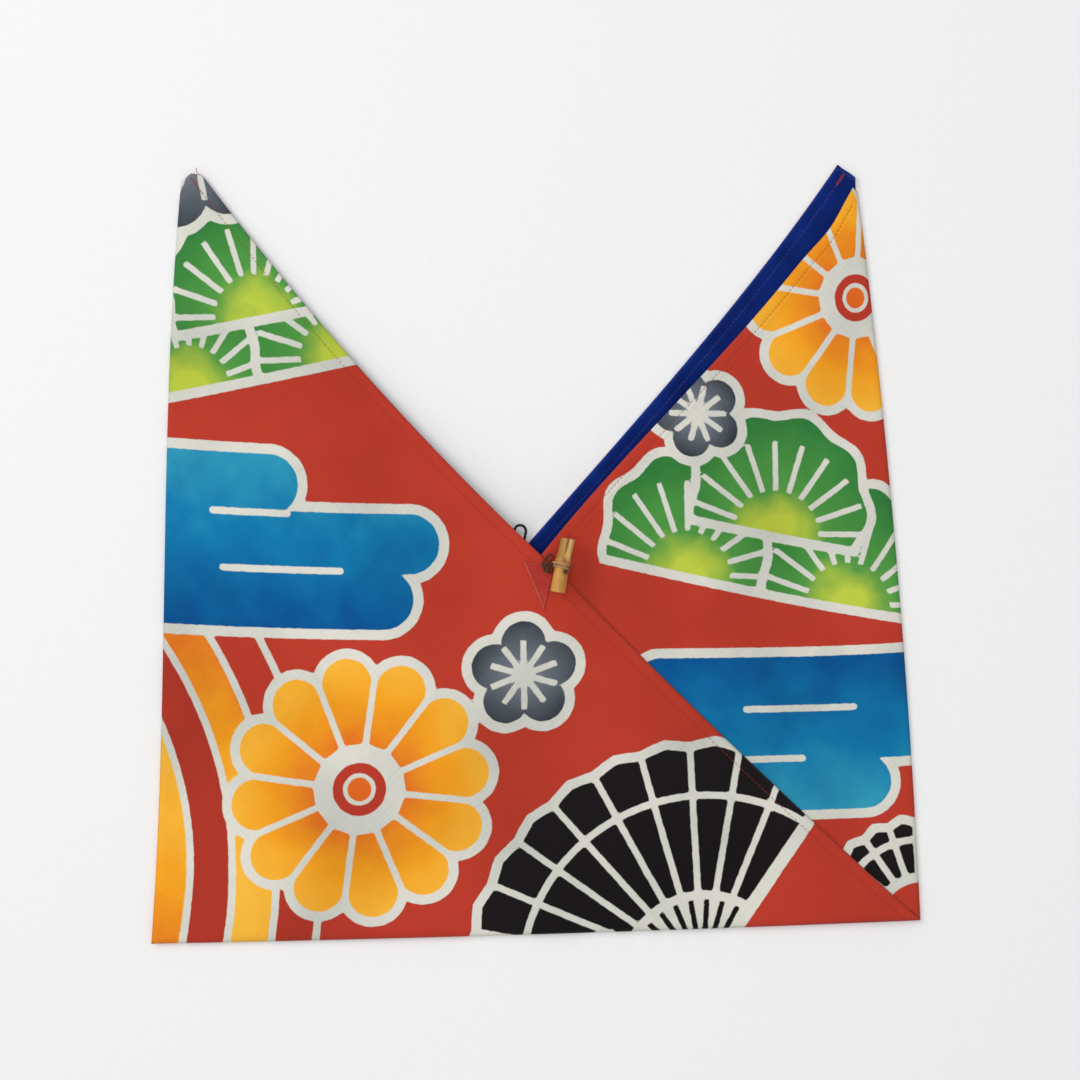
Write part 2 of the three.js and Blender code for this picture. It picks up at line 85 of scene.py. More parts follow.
# How far each edge bows leftwards on a walk between its corners, and how much more in its first half
LEFT_MOUTH_BOW = (6.6, 0.0)
BACK_LEFT_MOUTH_BOW = (8.0, 0.0)
RIGHT_MOUTH_BOW = (-4.0, 6.2)
BACK_RIGHT_MOUTH_BOW = (-5.0, 2.3)
SEAM_BOW = (-2.3, 0.0)
LEFT_SIDE_BOW = (-1.6, -5.2)
RIGHT_SIDE_BOW = (-4.0, 0.0)
BOTTOM_BOW = (-1.3, 0.0)

# The front's right mouth edge slumps outwards near the ear's tip
EAR_SLUMP = np.array((1.6, -1.3))
SLUMP_PLACE = 0.89
SLUMP_SPREAD = 0.06
SLUMP_FADE = 12

# The back cloth's blunt right tip leans at its fold, and the front cloth's corner there is tucked in
TIP_LEAN = np.array((-1.2, 2.2))
TIP_LEAN_REACH = 7.0
FRONT_TIP_TUCK = np.array((-0.4, 0.0))
FRONT_TIP_TUCK_LENGTH = 18.0

# Heights above the table
MOUTH_HEIGHT = 17.0
UNDER_MOUTH_HEIGHT = 14.3
EAR_HEIGHT = 2.7
LOWER_LEFT_HEIGHT = 4.2
LOWER_RIGHT_HEIGHT = 5.4
BACK_LAP_HEIGHT = 1.5
SAG_POWER = 1.2
CREASE_SOFTNESS = 0.16
EDGE_ROLL = 5.0
LAP_PRESS = 1.1
LAP_PRESS_WIDTH = 9.0
LAP_PRESS_START = 22.0
LAP_PRESS_FADE = 30.0
RIPPLE = 3.4
RIPPLE_FADE = 85.0
RIPPLE_FINE = 0.3
CALM_RADIUS = 42.0

# Relief of the sewn edges, and the cloth gathered under the patch's point
HEM_WIDTH = 10.0
HEM_STEP = 0.3
HEM_STEP_FADE = 1.5
HEM_TURN = 2.4
HEM_DROP = 0.55
STITCH_SINK = 0.16
STITCH_SINK_WIDTH = 1.2
GATHER = 0.3
GATHER_PITCH = 5.6
GATHER_REACH = 15.0
GATHER_NARROWING = 1.4
GATHER_START = 3

# The folded patch that covers the end of the seam
PATCH_CORNERS = np.array(((-9.3, -4.0), (1.6, -30.0), (8.6, -4.0)))
PATCH_STEPS = 44
PATCH_REACH = np.array((17.0, 26.0, 17.0))
PATCH_PLY = 0.5
PATCH_LIFT = 0.75
PATCH_SINK = 0.02
PATCH_TURNING = 0.25
PATCH_TURNING_WIDTH = 1.9
PATCH_RIM_DROP = 0.2
PATCH_RIM = 0.5
PATCH_DROOP = 1.3
PATCH_DROOP_WIDTH = 6.0
PATCH_DROOP_WAY = np.array((0.69, 0.72))
PATCH_PUCKER = 0.16
PATCH_PUCKER_SIZE = (3.2, 4.5)

# Sewing
HEM_LINE = 6.0
STITCH_WANDER = 0.06
FIRST_SEED = 3
THREAD_END = ((-187.4, 206.8, 2.9), (-188.4, 209.6, 2.9), (-190.0, 211.6, 2.6), (-190.2, 213.6, 2.2))
THREAD_END_CORD = 0.35

# Pitch, length, thickness and slant of each kind of stitch
HEM_STITCH = (2.5, 2.2, 0.34, 0.05)
INSIDE_TACK = (0.55, 2.0, 0.42, 1.15)
FRONT_TACK = (0.9, 1.4, 0.4, 1.1)

# The toggle on its cord, in millimetres; its own axis is measured from the pivot
TOGGLE_PIVOT = Vector((11.1, -8.3, 23.773))
TOGGLE_LEAN = math.radians(-10)
TOGGLE_PLACE = Matrix.Translation(TOGGLE_PIVOT) @ Matrix.Rotation(TOGGLE_LEAN, 4, "Z")
TOGGLE_LENGTH = 30.0
TOGGLE_FOOT = -12.2
TOGGLE_TOP = TOGGLE_FOOT + TOGGLE_LENGTH
TOGGLE_TOP_RADIUS = 3.8
TOGGLE_FOOT_RADIUS = 4.1
CANE_SIDES = 56
CANE_RIM = 0.55
CANE_LUMP = 0.09
NODE_PLACE = 4.6
NODE_KINK = math.tan(math.radians(3))
PITH_RADIUS = 1.1
PITH_DEPTH = 2.5
GROOVE_ANGLE = math.radians(84)
GROOVE_START = 5.6
GROOVE_FADE = 1.1
GROOVE_WIDTH = 0.6
GROOVE_DEPTH = 0.65
GROOVE_SHADE = 0.85
GROOVE_FLOOR = 2.4

# Swelling, scar and waist of the cane's node: how much they add, how far below the node, and how wide
NODE_FORMS = ((0.55, 0.0, 1.5), (0.35, 0.8, 0.35), (-0.18, 1.9, 0.5))

# The cane's rings below, by and above its node: first and last place along, and count
CANE_RINGS = ((TOGGLE_FOOT + CANE_RIM, 1.4, 34), (1.6, 6.6, 44), (6.9, TOGGLE_TOP - CANE_RIM, 30))

# The brown cord that holds the toggle
LASHING_CORD = 1.0
LASHING_TURNS = 2
LASHING_PITCH = 1.5
LASHING_PLACE = 2.2
LASHING_CLEARANCE = 0.08
# The side of the lashing that faces the light, and how far the painted highlight on it reaches
LIT_SIDE = np.array((-0.35, 0.0, 0.94))
LIT_REACH = 3.4
KNOT_CORD = 1.35
KNOT_CENTRE = Vector((2.642, -6.809, 23.773))
KNOT_ACROSS = 0.62
KNOT_UP = 0.85
KNOT_THICKNESS = 1.25
KNOT_SHIFT = (-0.2, 0.5, 0.0)
ANCHOR_CORD = 1.1
ANCHOR_FOOT = 17.3
ANCHOR_TOP = 23.4
ANCHOR_RADIUS = 0.45
ANCHOR_TWIST = 2.4 * math.pi
LEAD_SETOFF = 0.8
LEAD_LIFTS = (-0.5, 0.6)
LEAD_ARCH = 0.25
SLACK = (
    ((2.6, -6.6, 20.9), (1.2, -4.6, 19.6), (2.4, -2.0, 18.7), (5.2, 0.5, 17.3), (6.7, -0.9, 17.0),
     (5.2, -3.0, 18.3), (3.4, -5.2, 19.8), (2.9, -6.6, 20.6)),
    ((2.8, -6.9, 20.6), (5.2, -6.6, 19.2), (6.3, -8.3, 18.7), (5.0, -9.7, 18.6), (3.2, -8.4, 19.4),
     (2.5, -7.0, 20.4)))

# The loop that the toggle goes through; its two ends lie where the front's mouth edge crosses it
LOOP_CORD = 1.6
LOOP_RADIUS = 3.15
LOOP_CENTRE = Vector((-11.467, 13.293, 12.541))
MOUTH_EDGE = np.array((-40.5, 40.0)) / math.hypot(40.5, 40.0)
LOOP_END = math.atan2(MOUTH_EDGE[1], MOUTH_EDGE[0])
LOOP_LEG = LOOP_RADIUS * MOUTH_EDGE[1] / -MOUTH_EDGE[0]
LOOP_ROOT = np.array((-12.05, 5.21, 1.5))
ROOT_TURN = 1.3
ROOT_FORWARD = 0.65
ROOT_LIFT = 0.8
LOOP_OVERRUN = 0.5
LOOP_JOIN = 0.34
LOOP_LEG_LEAN = 0.16
TAIL_SETBACK = 1.243

# Strands of a cord, the groove between them as a share of its radius, and its lay in diameters
STRANDS = 3
STRAND_GROOVE = 0.2
LAY = 3.2
CURVE_STEPS = 24
OFF_ROUTE = (0.31, 0.52, 0.79)

# Table, light and camera, in metres
TABLE_HALF = 12.0
TABLE_LEVEL = -0.0004
SKY_STRENGTH = 0.52
LIGHTS = (("overhead", (-0.15, 0.05, 2.6), 1.6, 22.5), ("window", (-1.6, 1.0, 1.6), 0.9, 16.0))
PHOTO_WIDTH = 0.5967
CAMERA_PLACE = (-0.00055, 0.0083, 2.0)
CAMERA_SENSOR = 36.0


def srgb(red, green, blue):
    """A colour as it looks on screen, 0 to 255, as the linear colour that shaders use."""
    levels = [c / 255 for c in (red, green, blue)]
    return tuple(c / 12.92 if c <= 0.04045 else ((c + 0.055) / 1.055) ** 2.4 for c in levels) + (1.0,)


# Materials

class Wire:
    """One output socket of a finish, with sums written as Python expressions."""

    def __init__(self, finish, socket):
        self.finish = finish
        self.socket = socket

    def __add__(self, other):
        return self.finish.maths("ADD", self, other)

    def __radd__(self, other):
        return self.finish.maths("ADD", other, self)

    def __sub__(self, other):
        return self.finish.maths("SUBTRACT", self, other)

    def __rsub__(self, other):
        return self.finish.maths("SUBTRACT", other, self)

    def __mul__(self, other):
        return self.finish.maths("MULTIPLY", self, other)

    def __rmul__(self, other):
        return self.finish.maths("MULTIPLY", other, self)

    def __truediv__(self, other):
        return self.finish.maths("DIVIDE", self, other)

    def __rtruediv__(self, other):
        return self.finish.maths("DIVIDE", other, self)

    def __abs__(self):
        return self.finish.maths("ABSOLUTE", self, 0.0)


def feed(tree, socket, value):
    """Link an output to a socket, or set the socket's own value."""
    value = value.socket if isinstance(value, Wire) else value
    if isinstance(value, bpy.types.NodeSocket):
        tree.links.new(value, socket)
    else:
        socket.default_value = value


def add_node(tree, kind, settings=None, sockets=None):
    """Add a node: its settings first, then the values or links of its sockets."""
    made = tree.nodes.new(kind)
    for name, value in (settings or {}).items():
        setattr(made, name, value)
    for name, value in (sockets or {}).items():
        found = [s for s in made.inputs if name in (s.identifier, s.name) and s.enabled]
        feed(tree, made.inputs[name] if isinstance(name, int) else found[0], value)
    return made


class Finish:
    """A procedural material: a Principled shader and the nodes that feed it."""

    def __init__(self, name, **constants):
        self.material = bpy.data.materials.new(name)
        self.material.use_nodes = True
        self.tree = self.material.node_tree
        self.tree.nodes.clear()
        self.shader = self.tree.nodes.new("ShaderNodeBsdfPrincipled")
        add_node(self.tree, "ShaderNodeOutputMaterial", None, {"Surface": self.shader.outputs[0]})
        for socket, value in constants.items():
            self.set(socket.replace("_", " "), value)

    def set(self, socket, value):
        """Feed one of the shader's own sockets."""
        feed(self.tree, self.shader.inputs[socket], value)

    def node(self, kind, settings=None, sockets=None, out=None):
        """Add a node and give its first output, or the named one."""
        outputs = add_node(self.tree, kind, settings, sockets).outputs
        return Wire(self, outputs[out] if out else [s for s in outputs if s.enabled][0])

    def maths(self, operation, first, second):
        return self.node("ShaderNodeMath", {"operation": operation}, {0: first, 1: second})

    def clamp(self, value):
        return self.node("ShaderNodeClamp", None, {"Value": value, "Min": 0.0, "Max": 1.0})

    def sine(self, value):
        return self.maths("SINE", value, 0.0)

    def bell(self, value, centre, spread):
        """A bump of height 1 that fades on both sides of a value's centre."""
        away = (value - centre) / spread
        return self.maths("EXPONENT", away * away * -1.0, 0.0)

    def mix(self, first, second, share, blend="MIX"):
        settings = {"data_type": "RGBA", "blend_type": blend}
        sockets = {"A_Color": first, "B_Color": second, "Factor_Float": share}
        return self.node("ShaderNodeMix", settings, sockets)

    def ramp(self, share, *stops):
        """A colour that runs through the stops as a share goes up."""
        made = add_node(self.tree, "ShaderNodeValToRGB", None, {"Fac": share})
        elements = made.color_ramp.elements
        while len(elements) < len(stops):
            elements.new(0.5)
        for element, (place, colour) in zip(elements, stops):
            element.position = place
            element.color = colour
        return Wire(self, made.outputs[0])

    def attribute(self, name, out="Fac"):
        return self.node("ShaderNodeAttribute", {"attribute_name": name}, out=out)

    def parts(self, vector):
        """The three parts of a vector."""
        made = add_node(self.tree, "ShaderNodeSeparateXYZ", None, {0: vector})
        return [Wire(self, s) for s in made.outputs]

    def stretched(self, vector, scale):
        return self.node("ShaderNodeVectorMath", {"operation": "MULTIPLY"}, {0: vector, 1: scale})

    def place(self, scale, turn=0.0, centre=(0.0, 0.0, 0.0)):
        """Object coordinates about a centre, turned about the vertical and stretched."""
        here = self.node("ShaderNodeTexCoord", out="Object")
        moved = self.node("ShaderNodeVectorMath", {"operation": "SUBTRACT"}, {0: here, 1: centre})
        sockets = {"Vector": moved, "Angle": -turn}
        facing = self.node("ShaderNodeVectorRotate", {"rotation_type": "Z_AXIS"}, sockets)
        return self.stretched(facing, scale)

    def surface(self, name, along, across):
        """The piece's own UV map in metres, stretched."""
        return self.stretched(self.node("ShaderNodeUVMap", {"uv_map": name}), (along, across, 1.0))

    def mottle(self, vector, detail=2.0, roughness=0.5):
        sockets = {"Vector": vector, "Scale": 1.0, "Detail": detail, "Roughness": roughness}
        return self.node("ShaderNodeTexNoise", None, sockets, "Fac")

    def speckle(self, scale, detail):
        """Even noise on the strip."""
        return self.mottle(self.surface("strip", scale, scale), detail)

    def raise_by(self, height, distance, strength):
        """Bump from a height, over a distance in millimetres."""
        sockets = {"Height": height, "Distance": distance * MM, "Strength": strength}
        self.set("Normal", self.node("ShaderNodeBump", None, sockets))


def weave(finish):
    """Height of a plain weave and the uneven yarns in it, along and across the strip."""
    turns = 2 * math.pi / (YARN_PITCH * MM)
    along, across, _ = finish.parts(finish.surface("strip", turns, turns))
    crossing = finish.sine(along) * finish.sine(across)
    warp = finish.mottle(finish.surface("strip", 60.0, 1600.0), 1.0)
    weft = finish.mottle(finish.surface("strip", 1600.0, 60.0), 1.0)
    return crossing, warp + weft - 1.0


def dyed_cotton():
    """Paste-resist dyed cotton: crisp dyed shapes on off-white cloth, shaded by brush, with a sewn hem."""
    finish = Finish(
        "dyed_cotton", Roughness=0.9, Sheen_Weight=0.04, Sheen_Roughness=0.5, Specular_IOR_Level=0.12)
    crossing, slubs = weave(finish)
    bleed = (finish.speckle(240.0, 3.0) - 0.5) * 0.9
    streak = (finish.speckle(45.0, 3.0) - 0.5) * 0.5
    drift = finish.speckle(14.0, 2.0)
    brushed = finish.clamp(finish.attribute("shade") + streak)
    red, blue, gold = finish.parts(finish.attribute("dye_a", "Vector"))
    green, black, grey = finish.parts(finish.attribute("dye_b", "Vector"))
    baths = (
        (red, ((0.0, srgb(190, 60, 43)), (1.0, srgb(176, 54, 39)))),
        (blue, ((0.0, srgb(2, 84, 148)), (0.45, srgb(12, 122, 174)), (1.0, srgb(58, 168, 192)))),
        (gold, ((0.0, srgb(230, 106, 34)), (0.5, srgb(248, 164, 32)), (1.0, srgb(252, 190, 64)))),
        (green, ((0.0, srgb(50, 126, 60)), (0.65, srgb(82, 156, 70)), (1.0, srgb(194, 210, 70)))),
        (black, ((0.0, srgb(15, 12, 14)), (1.0, srgb(26, 22, 23)))),
        (grey, ((0.0, srgb(52, 58, 66)), (1.0, srgb(128, 136, 146)))))
    colour = finish.ramp(
        drift + slubs * 0.5,
        (0.2, srgb(208, 211, 203)), (0.5, srgb(219, 219, 209)), (0.8, srgb(229, 224, 212)))
    for reach, stops in baths:
        wet = finish.clamp(0.5 - (reach + bleed) / 0.55)
        colour = finish.mix(colour, finish.ramp(brushed, *stops), wet)
    hem = finish.attribute("hem")
    rub = finish.bell(hem, 0.0, 0.6) * finish.clamp(streak + 0.35) * 0.14
    colour = finish.mix(colour, srgb(214, 150, 140), rub)
    cast = finish.clamp(0.5 + slubs * 0.5 + streak * 0.25)
    colour = finish.mix(colour, srgb(196, 190, 188), finish.clamp((0.5 - cast) * 0.7), "MULTIPLY")
    colour = finish.mix(colour, srgb(214, 212, 210), finish.clamp((0.62 - drift) * 1.6), "MULTIPLY")
    finish.set("Base Color", colour)
    puckers = finish.speckle(330.0, 1.0) - 0.5
    groove = finish.bell(hem, HEM_LINE, 1.1)
    fold = finish.clamp((9.0 - hem) / 0.8) * 0.35
    finish.raise_by(fold - groove * (0.55 + puckers) + crossing * 0.05 + slubs * 0.14, 0.5, 0.8)
    return finish.material


def lining_cotton():
    """Plain navy cotton for the inside."""
    finish = Finish(
        "lining_cotton", Roughness=0.88, Sheen_Weight=0.05, Sheen_Roughness=0.5, Specular_IOR_Level=0.12)
    crossing, slubs = weave(finish)
    colour = finish.ramp(
        finish.speckle(38.0, 3.0) + slubs * 0.3,
        (0.25, srgb(0, 22, 85)), (0.55, srgb(2, 33, 107)), (0.85, srgb(14, 47, 127)))
    hem = finish.attribute("hem")
    finish.set("Base Color", finish.mix(colour, srgb(48, 70, 158), finish.bell(hem, 0.0, 0.8) * 0.4))
    groove = finish.bell(hem, HEM_LINE - 0.8, 1.1)
    fold = finish.clamp((9.5 - hem) / 0.8) * 0.35
    finish.raise_by(fold - groove * 0.55 + crossing * 0.05 + slubs * 0.14, 0.5, 0.8)
    return finish.material


def patch_cotton():
    """The wrong side of the red cloth, paler and dusty, with rubbed folded edges."""
    finish = Finish("patch_cotton", Roughness=0.9, Sheen_Weight=0.12, Specular_IOR_Level=0.2)
    crossing, slubs = weave(finish)
    drift = finish.speckle(160.0, 3.0)
    colour = finish.ramp(
        drift + slubs * 0.5, (0.25, srgb(170, 49, 40)), (0.6, srgb(181, 58, 47)), (0.9, srgb(190, 72, 60)))
    rubbed = finish.bell(finish.attribute("worn"), 0.15, 0.45) * (0.15 + drift * 0.7)
    finish.set("Base Color", finish.mix(colour, srgb(206, 118, 106), rubbed))
    fold = finish.clamp((PATCH_TURNING_WIDTH - finish.attribute("hem")) / 0.3) * 0.4
    finish.raise_by(crossing * 0.08 + slubs * 0.2 + fold, 0.4, 0.8)
    return finish.material


def bamboo_skin():
    """Weathered cane: long fibres, browner at the node and at the cut ends, with a painted highlight down
    its right side above the node and painted shade above the node, in its bud groove and in its pith
    hollows.
    """
    finish = Finish("bamboo_skin", Coat_Weight=0.12, Coat_Roughness=0.35, Specular_IOR_Level=0.4)

    def grain(across, along):
        return finish.place((across, along, across), TOGGLE_LEAN, TOGGLE_PIVOT * MM)

    fibres = finish.mottle(grain(2300.0, 60.0), 3.0, 0.65)
    stain = finish.mottle(grain(420.0, 130.0), 3.0)
    specks = finish.mottle(grain(1500.0, 700.0))
    side, along, _ = finish.parts(grain(1 / MM, 1 / MM))
    colour = finish.ramp(
        fibres * 0.75 + stain * 0.25, (0.3, srgb(118, 74, 26)), (0.44, srgb(180, 124, 48)),
        (0.56, srgb(205, 152, 66)), (0.72, srgb(224, 180, 100)))
    above = finish.clamp((along - NODE_PLACE - 0.4) / 1.6)
    # Painted shade in the hollow just above the node
    shade = finish.bell(along, NODE_PLACE + 1.5, 1.4) * finish.bell(side, 0.7, 1.5)
    blotch = finish.bell(along, NODE_PLACE - 4.9, 1.5) * finish.bell(side, 2.3, 1.6) * (0.8 + stain)
    scar = finish.bell(along, NODE_PLACE - 1.5, 0.55) * (0.5 + stain)
    ring = finish.bell(along, NODE_PLACE + 0.35, 0.5) * 0.7
    patina = finish.clamp((specks - 0.62) * 5.0) * 0.5
    from_middle = abs(along - (TOGGLE_TOP + TOGGLE_FOOT) / 2)
    ends = finish.clamp((from_middle - TOGGLE_LENGTH / 2 + 0.45) / 0.4) * 0.45
    # Painted shade in the pith hollows and along the bud groove, which are also made rougher
    hollow = finish.attribute("hollow")
    for tint, share in (
            (srgb(146, 106, 40), above * finish.clamp((1.0 - side) / 2.4) * 0.6),
            # Painted highlight down the right side above the node
            (srgb(232, 192, 128), above * finish.bell(side, 2.5, 1.1) * 0.65),
            (srgb(122, 86, 32), shade * 0.75),
            (srgb(70, 42, 16), finish.clamp(blotch)),
            (srgb(92, 56, 24), finish.clamp(scar + ring * 0.6 + patina)),
            (srgb(150, 96, 44), ends),
            (srgb(66, 40, 20), finish.clamp(hollow))):
        colour = finish.mix(colour, tint, share)
    finish.set("Base Color", colour)
    finish.set("Roughness", 0.42 + fibres * 0.25 + hollow * 0.2)
    finish.raise_by(fibres * 0.7 + specks * 0.3, 0.12, 0.8)
    return finish.material


def twisted_cord(name, dark, mid, pale, painted_light_colour):
    """Spun cord: fibres that follow the lay, with painted shade between the strands and a painted highlight
    on the side that faces the light.
    """
    finish = Finish(name, Roughness=0.85, Sheen_Weight=0.1, Specular_IOR_Level=0.2)
    fuzz = finish.mottle(finish.surface("lay", 900.0, 9000.0), 3.0, 0.65)
    tone = finish.mottle(finish.surface("lay", 260.0, 700.0))
    crown = finish.attribute("crown")
    # Crown lightens the strand tops and darkens the grooves between strands: painted shade
    colour = finish.ramp(fuzz * 0.45 + tone * 0.25 + crown * 0.3, (0.2, dark), (0.55, mid), (0.85, pale))
    # Painted highlight: the side that faces the light is mixed towards a paler colour, most on the strand
    # crowns
    painted_light = finish.attribute("painted_light") * (crown * 0.75 + fuzz * 0.45)
    finish.set("Base Color", finish.mix(colour, painted_light_colour, finish.clamp(painted_light)))
    finish.raise_by(fuzz + crown, 0.1, 0.7)
    return finish.material


def sewing_thread(name, dark, pale):
    """Spun polyester thread with a twist."""
    finish = Finish(name, Roughness=0.75, Specular_IOR_Level=0.25)
    twist = finish.mottle(finish.place((3000.0, 3000.0, 3000.0)))
    tone = finish.mottle(finish.place((60.0, 60.0, 60.0)), 1.0)
    finish.set("Base Color", finish.ramp(twist * 0.5 + tone * 0.5, (0.3, dark), (0.75, pale)))
    finish.raise_by(twist, 0.05, 0.6)
    return finish.material


def table_paper():
    """The pale table."""
    finish = Finish("table_paper", Roughness=0.95, Specular_IOR_Level=0.1)
    grain = finish.mottle(finish.place((400.0, 400.0, 400.0)))
    finish.set("Base Color", finish.ramp(grain, (0.3, srgb(243, 243, 243)), (0.7, srgb(245, 245, 245))))
    return finish.material


DYED_COTTON = dyed_cotton()
LINING_COTTON = lining_cotton()
PATCH_COTTON = patch_cotton()
BAMBOO_SKIN = bamboo_skin()
# The last colour of each cord is its painted highlight, where light falls on it
BROWN_CORD = twisted_cord(
    "brown_cord", srgb(40, 22, 13), srgb(80, 48, 29), srgb(122, 82, 50), srgb(210, 160, 112))
DARK_CORD = twisted_cord(
    "dark_cord", srgb(16, 12, 11), srgb(38, 30, 27), srgb(66, 54, 48), srgb(66, 54, 48))
BRICK_THREAD = sewing_thread("brick_thread", srgb(136, 42, 32), srgb(176, 60, 46))
BOBBIN_THREAD = sewing_thread("bobbin_thread", srgb(48, 44, 120), srgb(92, 80, 150))


# The dyed design on the flat strip, in millimetres

FAR = 14.0
PASTE_LINE = 5.5
COLOURS = ("red", "blue", "gold", "green", "black", "grey")
PETALS = 12
PETAL_GAP = 3.6
NEEDLES = 20
RIBBON_LINE = 4.2


class Stencil:
    """Resist dyeing: each motif keeps a white line round it, and lies over the motifs before it."""

    def __init__(self, x, y):
        self.x = x
        self.y = y
        self.reach = {name: np.full_like(x, FAR) for name in COLOURS}
        self.reach["red"] = np.full_like(x, -FAR)
        self.shade = np.zeros_like(x)

    def dye(self, colour, shape, shade, margin=PASTE_LINE):
        resist = shape - margin
        for name, reach in self.reach.items():
            self.reach[name] = np.maximum(reach, -resist)
        self.reach[colour] = np.minimum(self.reach[colour], shape)
        self.shade = np.where(resist < 0, np.clip(shade, 0, 1), self.shade)

    def local(self, centre, turn=0.0):
        """Coordinates about a motif's centre, turned by an angle in degrees."""
        return turned(self.x - centre[0], self.y - centre[1], math.radians(turn))


def bar(x, y, start, end, half):
    """A straight band with round ends."""
    ax, ay = start
    bx, by = end
    span = (bx - ax) ** 2 + (by - ay) ** 2
    share = np.clip(((x - ax) * (bx - ax) + (y - ay) * (by - ay)) / span, 0, 1)
    return np.hypot(x - ax - share * (bx - ax), y - ay - share * (by - ay)) - half


def both(*shapes):
    """Where all of the shapes lie."""
    return np.maximum.reduce(shapes)


def either(*shapes):
    """Where any of the shapes lie."""
    return np.minimum.reduce(shapes)


def turned(x, y, angle):
    return x * math.cos(angle) + y * math.sin(angle), y * math.cos(angle) - x * math.sin(angle)


def spoke(x, y, count):
    """Distance out and distance sideways within the nearest of several equal sectors."""
    sector = 2 * math.pi / count
    within = np.mod(np.arctan2(y, x) + sector / 2, sector) - sector / 2
    out = np.hypot(x, y)
    return out * np.cos(within), out * np.sin(within)


def chrysanthemum(stencil, centre, reach, turn):
    x, y = stencil.local(centre, turn)
    out, side = spoke(x, y, PETALS)
    half = math.pi / PETALS
    shoulder = reach / (1 + math.tan(half))
    tip = shoulder * math.tan(half) - PETAL_GAP / 2
    wedge = np.abs(side) * math.cos(half) - out * math.sin(half) + PETAL_GAP / 2
    round_tip = np.where(out > shoulder, np.hypot(out - shoulder, side) - tip, -FAR)
    petal = both(wedge, 0.34 * reach - out, round_tip)
    stencil.dye("gold", petal, 1.15 * np.hypot(x, y) / reach - 0.25)
    stencil.dye("red", np.hypot(x, y) - 0.2 * reach, np.zeros_like(x), 6.0)
    stencil.dye("gold", np.hypot(x, y) - 0.09 * reach, np.zeros_like(x), 2.4)


def open_fan(stencil, pivot, inner, outer, spread, turn, blades=9, sticks=True):
    x, y = stencil.local(pivot, turn)
    out = np.hypot(x, y)
    angle = np.arctan2(y, x)
    limit = math.radians(spread)
    blade = 2 * limit / blades
    within = np.mod(angle + limit, blade) - blade / 2
    pleat = 3.0 * np.abs(within) / (blade / 2)
    past_sides = (np.abs(angle) - limit) * out
    crease = np.abs(out * np.sin(np.abs(within) - blade / 2)) - 1.8
    band = np.abs(out - (inner + 0.66 * (outer - inner))) - 2.0
    paper = both(out + pleat - outer, inner - out, past_sides, -crease, -band)
    if sticks:
        ribs = both(np.abs(out * np.sin(within)) - 1.5, out - inner + 5.0, 9.0 - out, past_sides)
        paper = either(paper, ribs, out - 6.0)
    stencil.dye("black", paper, out / outer)


def pine_bough(stencil, centre, size, turn):
    for sideways, upward in ((-0.82, -0.3), (0.82, -0.3), (0.0, 0.28)):
        x, y = stencil.local(centre, turn)
        x = x - sideways * size
        y = y - upward * size
        out = np.hypot(x, y)
        lobed = out - size * (0.86 + 0.035 * np.cos(9 * np.arctan2(y, x)))
        dome = both(lobed, -y - 0.3 * size)
        _, side = spoke(*turned(x, y + 0.3 * size, math.pi / NEEDLES), NEEDLES)
        low = np.hypot(x, y + 0.3 * size)
        needles = both(np.abs(side) - 1.6, 0.42 * size - low, low - 0.92 * size)
        stencil.dye("green", both(dome, -needles), 1.15 - 1.05 * low / size)


def plum_blossom(stencil, centre, size, turn):
    x, y = stencil.local(centre, turn)
    petals = np.full_like(x, FAR)
    for i in range(5):
        angle = 2 * math.pi * i / 5
        petal = np.hypot(x - 0.56 * size * math.cos(angle), y - 0.56 * size * math.sin(angle)) - 0.4 * size
        petals = either(petals, petal)
    out, side = spoke(x, y, 10)
    stamens = both(np.abs(side) - 1.7, out - 0.62 * size)
    eye = np.hypot(x, y) - 0.2 * size
    stencil.dye("grey", both(petals, -either(stamens, eye)), 1.0 - np.hypot(x, y) / size)


def mist(stencil, corner, lengths, shifts, thickness):
    """Bands of mist with round ends, one above the other."""
    x, y = stencil.local(corner)
    rows = len(lengths)
    bands = np.full_like(x, FAR)
    for row in range(rows):
        level = row * thickness * 0.92
        start = (shifts[row], level)
        end = (shifts[row] + lengths[row], level)
        bands = either(bands, bar(x, y, start, end, thickness / 2))
    slits = np.full_like(x, FAR)
    for row in range(rows - 1):
        level = (row + 0.5) * thickness * 0.92
        start = (max(shifts[row], shifts[row + 1]) + 0.25 * lengths[row], level)
        end = (start[0] + 0.45 * lengths[row + 1], level)
        slits = either(slits, bar(x, y, start, end, 1.9))
    stencil.dye("blue", both(bands, -slits), 0.15 + 0.8 * y / (rows * thickness))


def ribbons(stencil, centre, radius, start, sweep, colours, width):
    """A sheaf of curved ribbons side by side."""
    x, y = stencil.local(centre)
    out = np.hypot(x, y)
    angle = np.arctan2(y, x)
    middle = math.radians(start + sweep / 2)
    for i, colour in enumerate(colours):
        line = radius + i * (width + RIBBON_LINE)
        half_sweep = math.radians(sweep / 2 - 3 * abs(i - len(colours) / 2))
        band = both(np.abs(out - line) - width / 2, (np.abs(angle - middle) - half_sweep) * line)
        stencil.dye(colour, band, 0.5 + 0.5 * np.sin(3 * angle + i), RIBBON_LINE)


def right_panel(x, y):
    """A place on the front's right panel, in the flat strip."""
    return (2 * HALF_FLAT - x, -2 * HALF_FLAT - y)


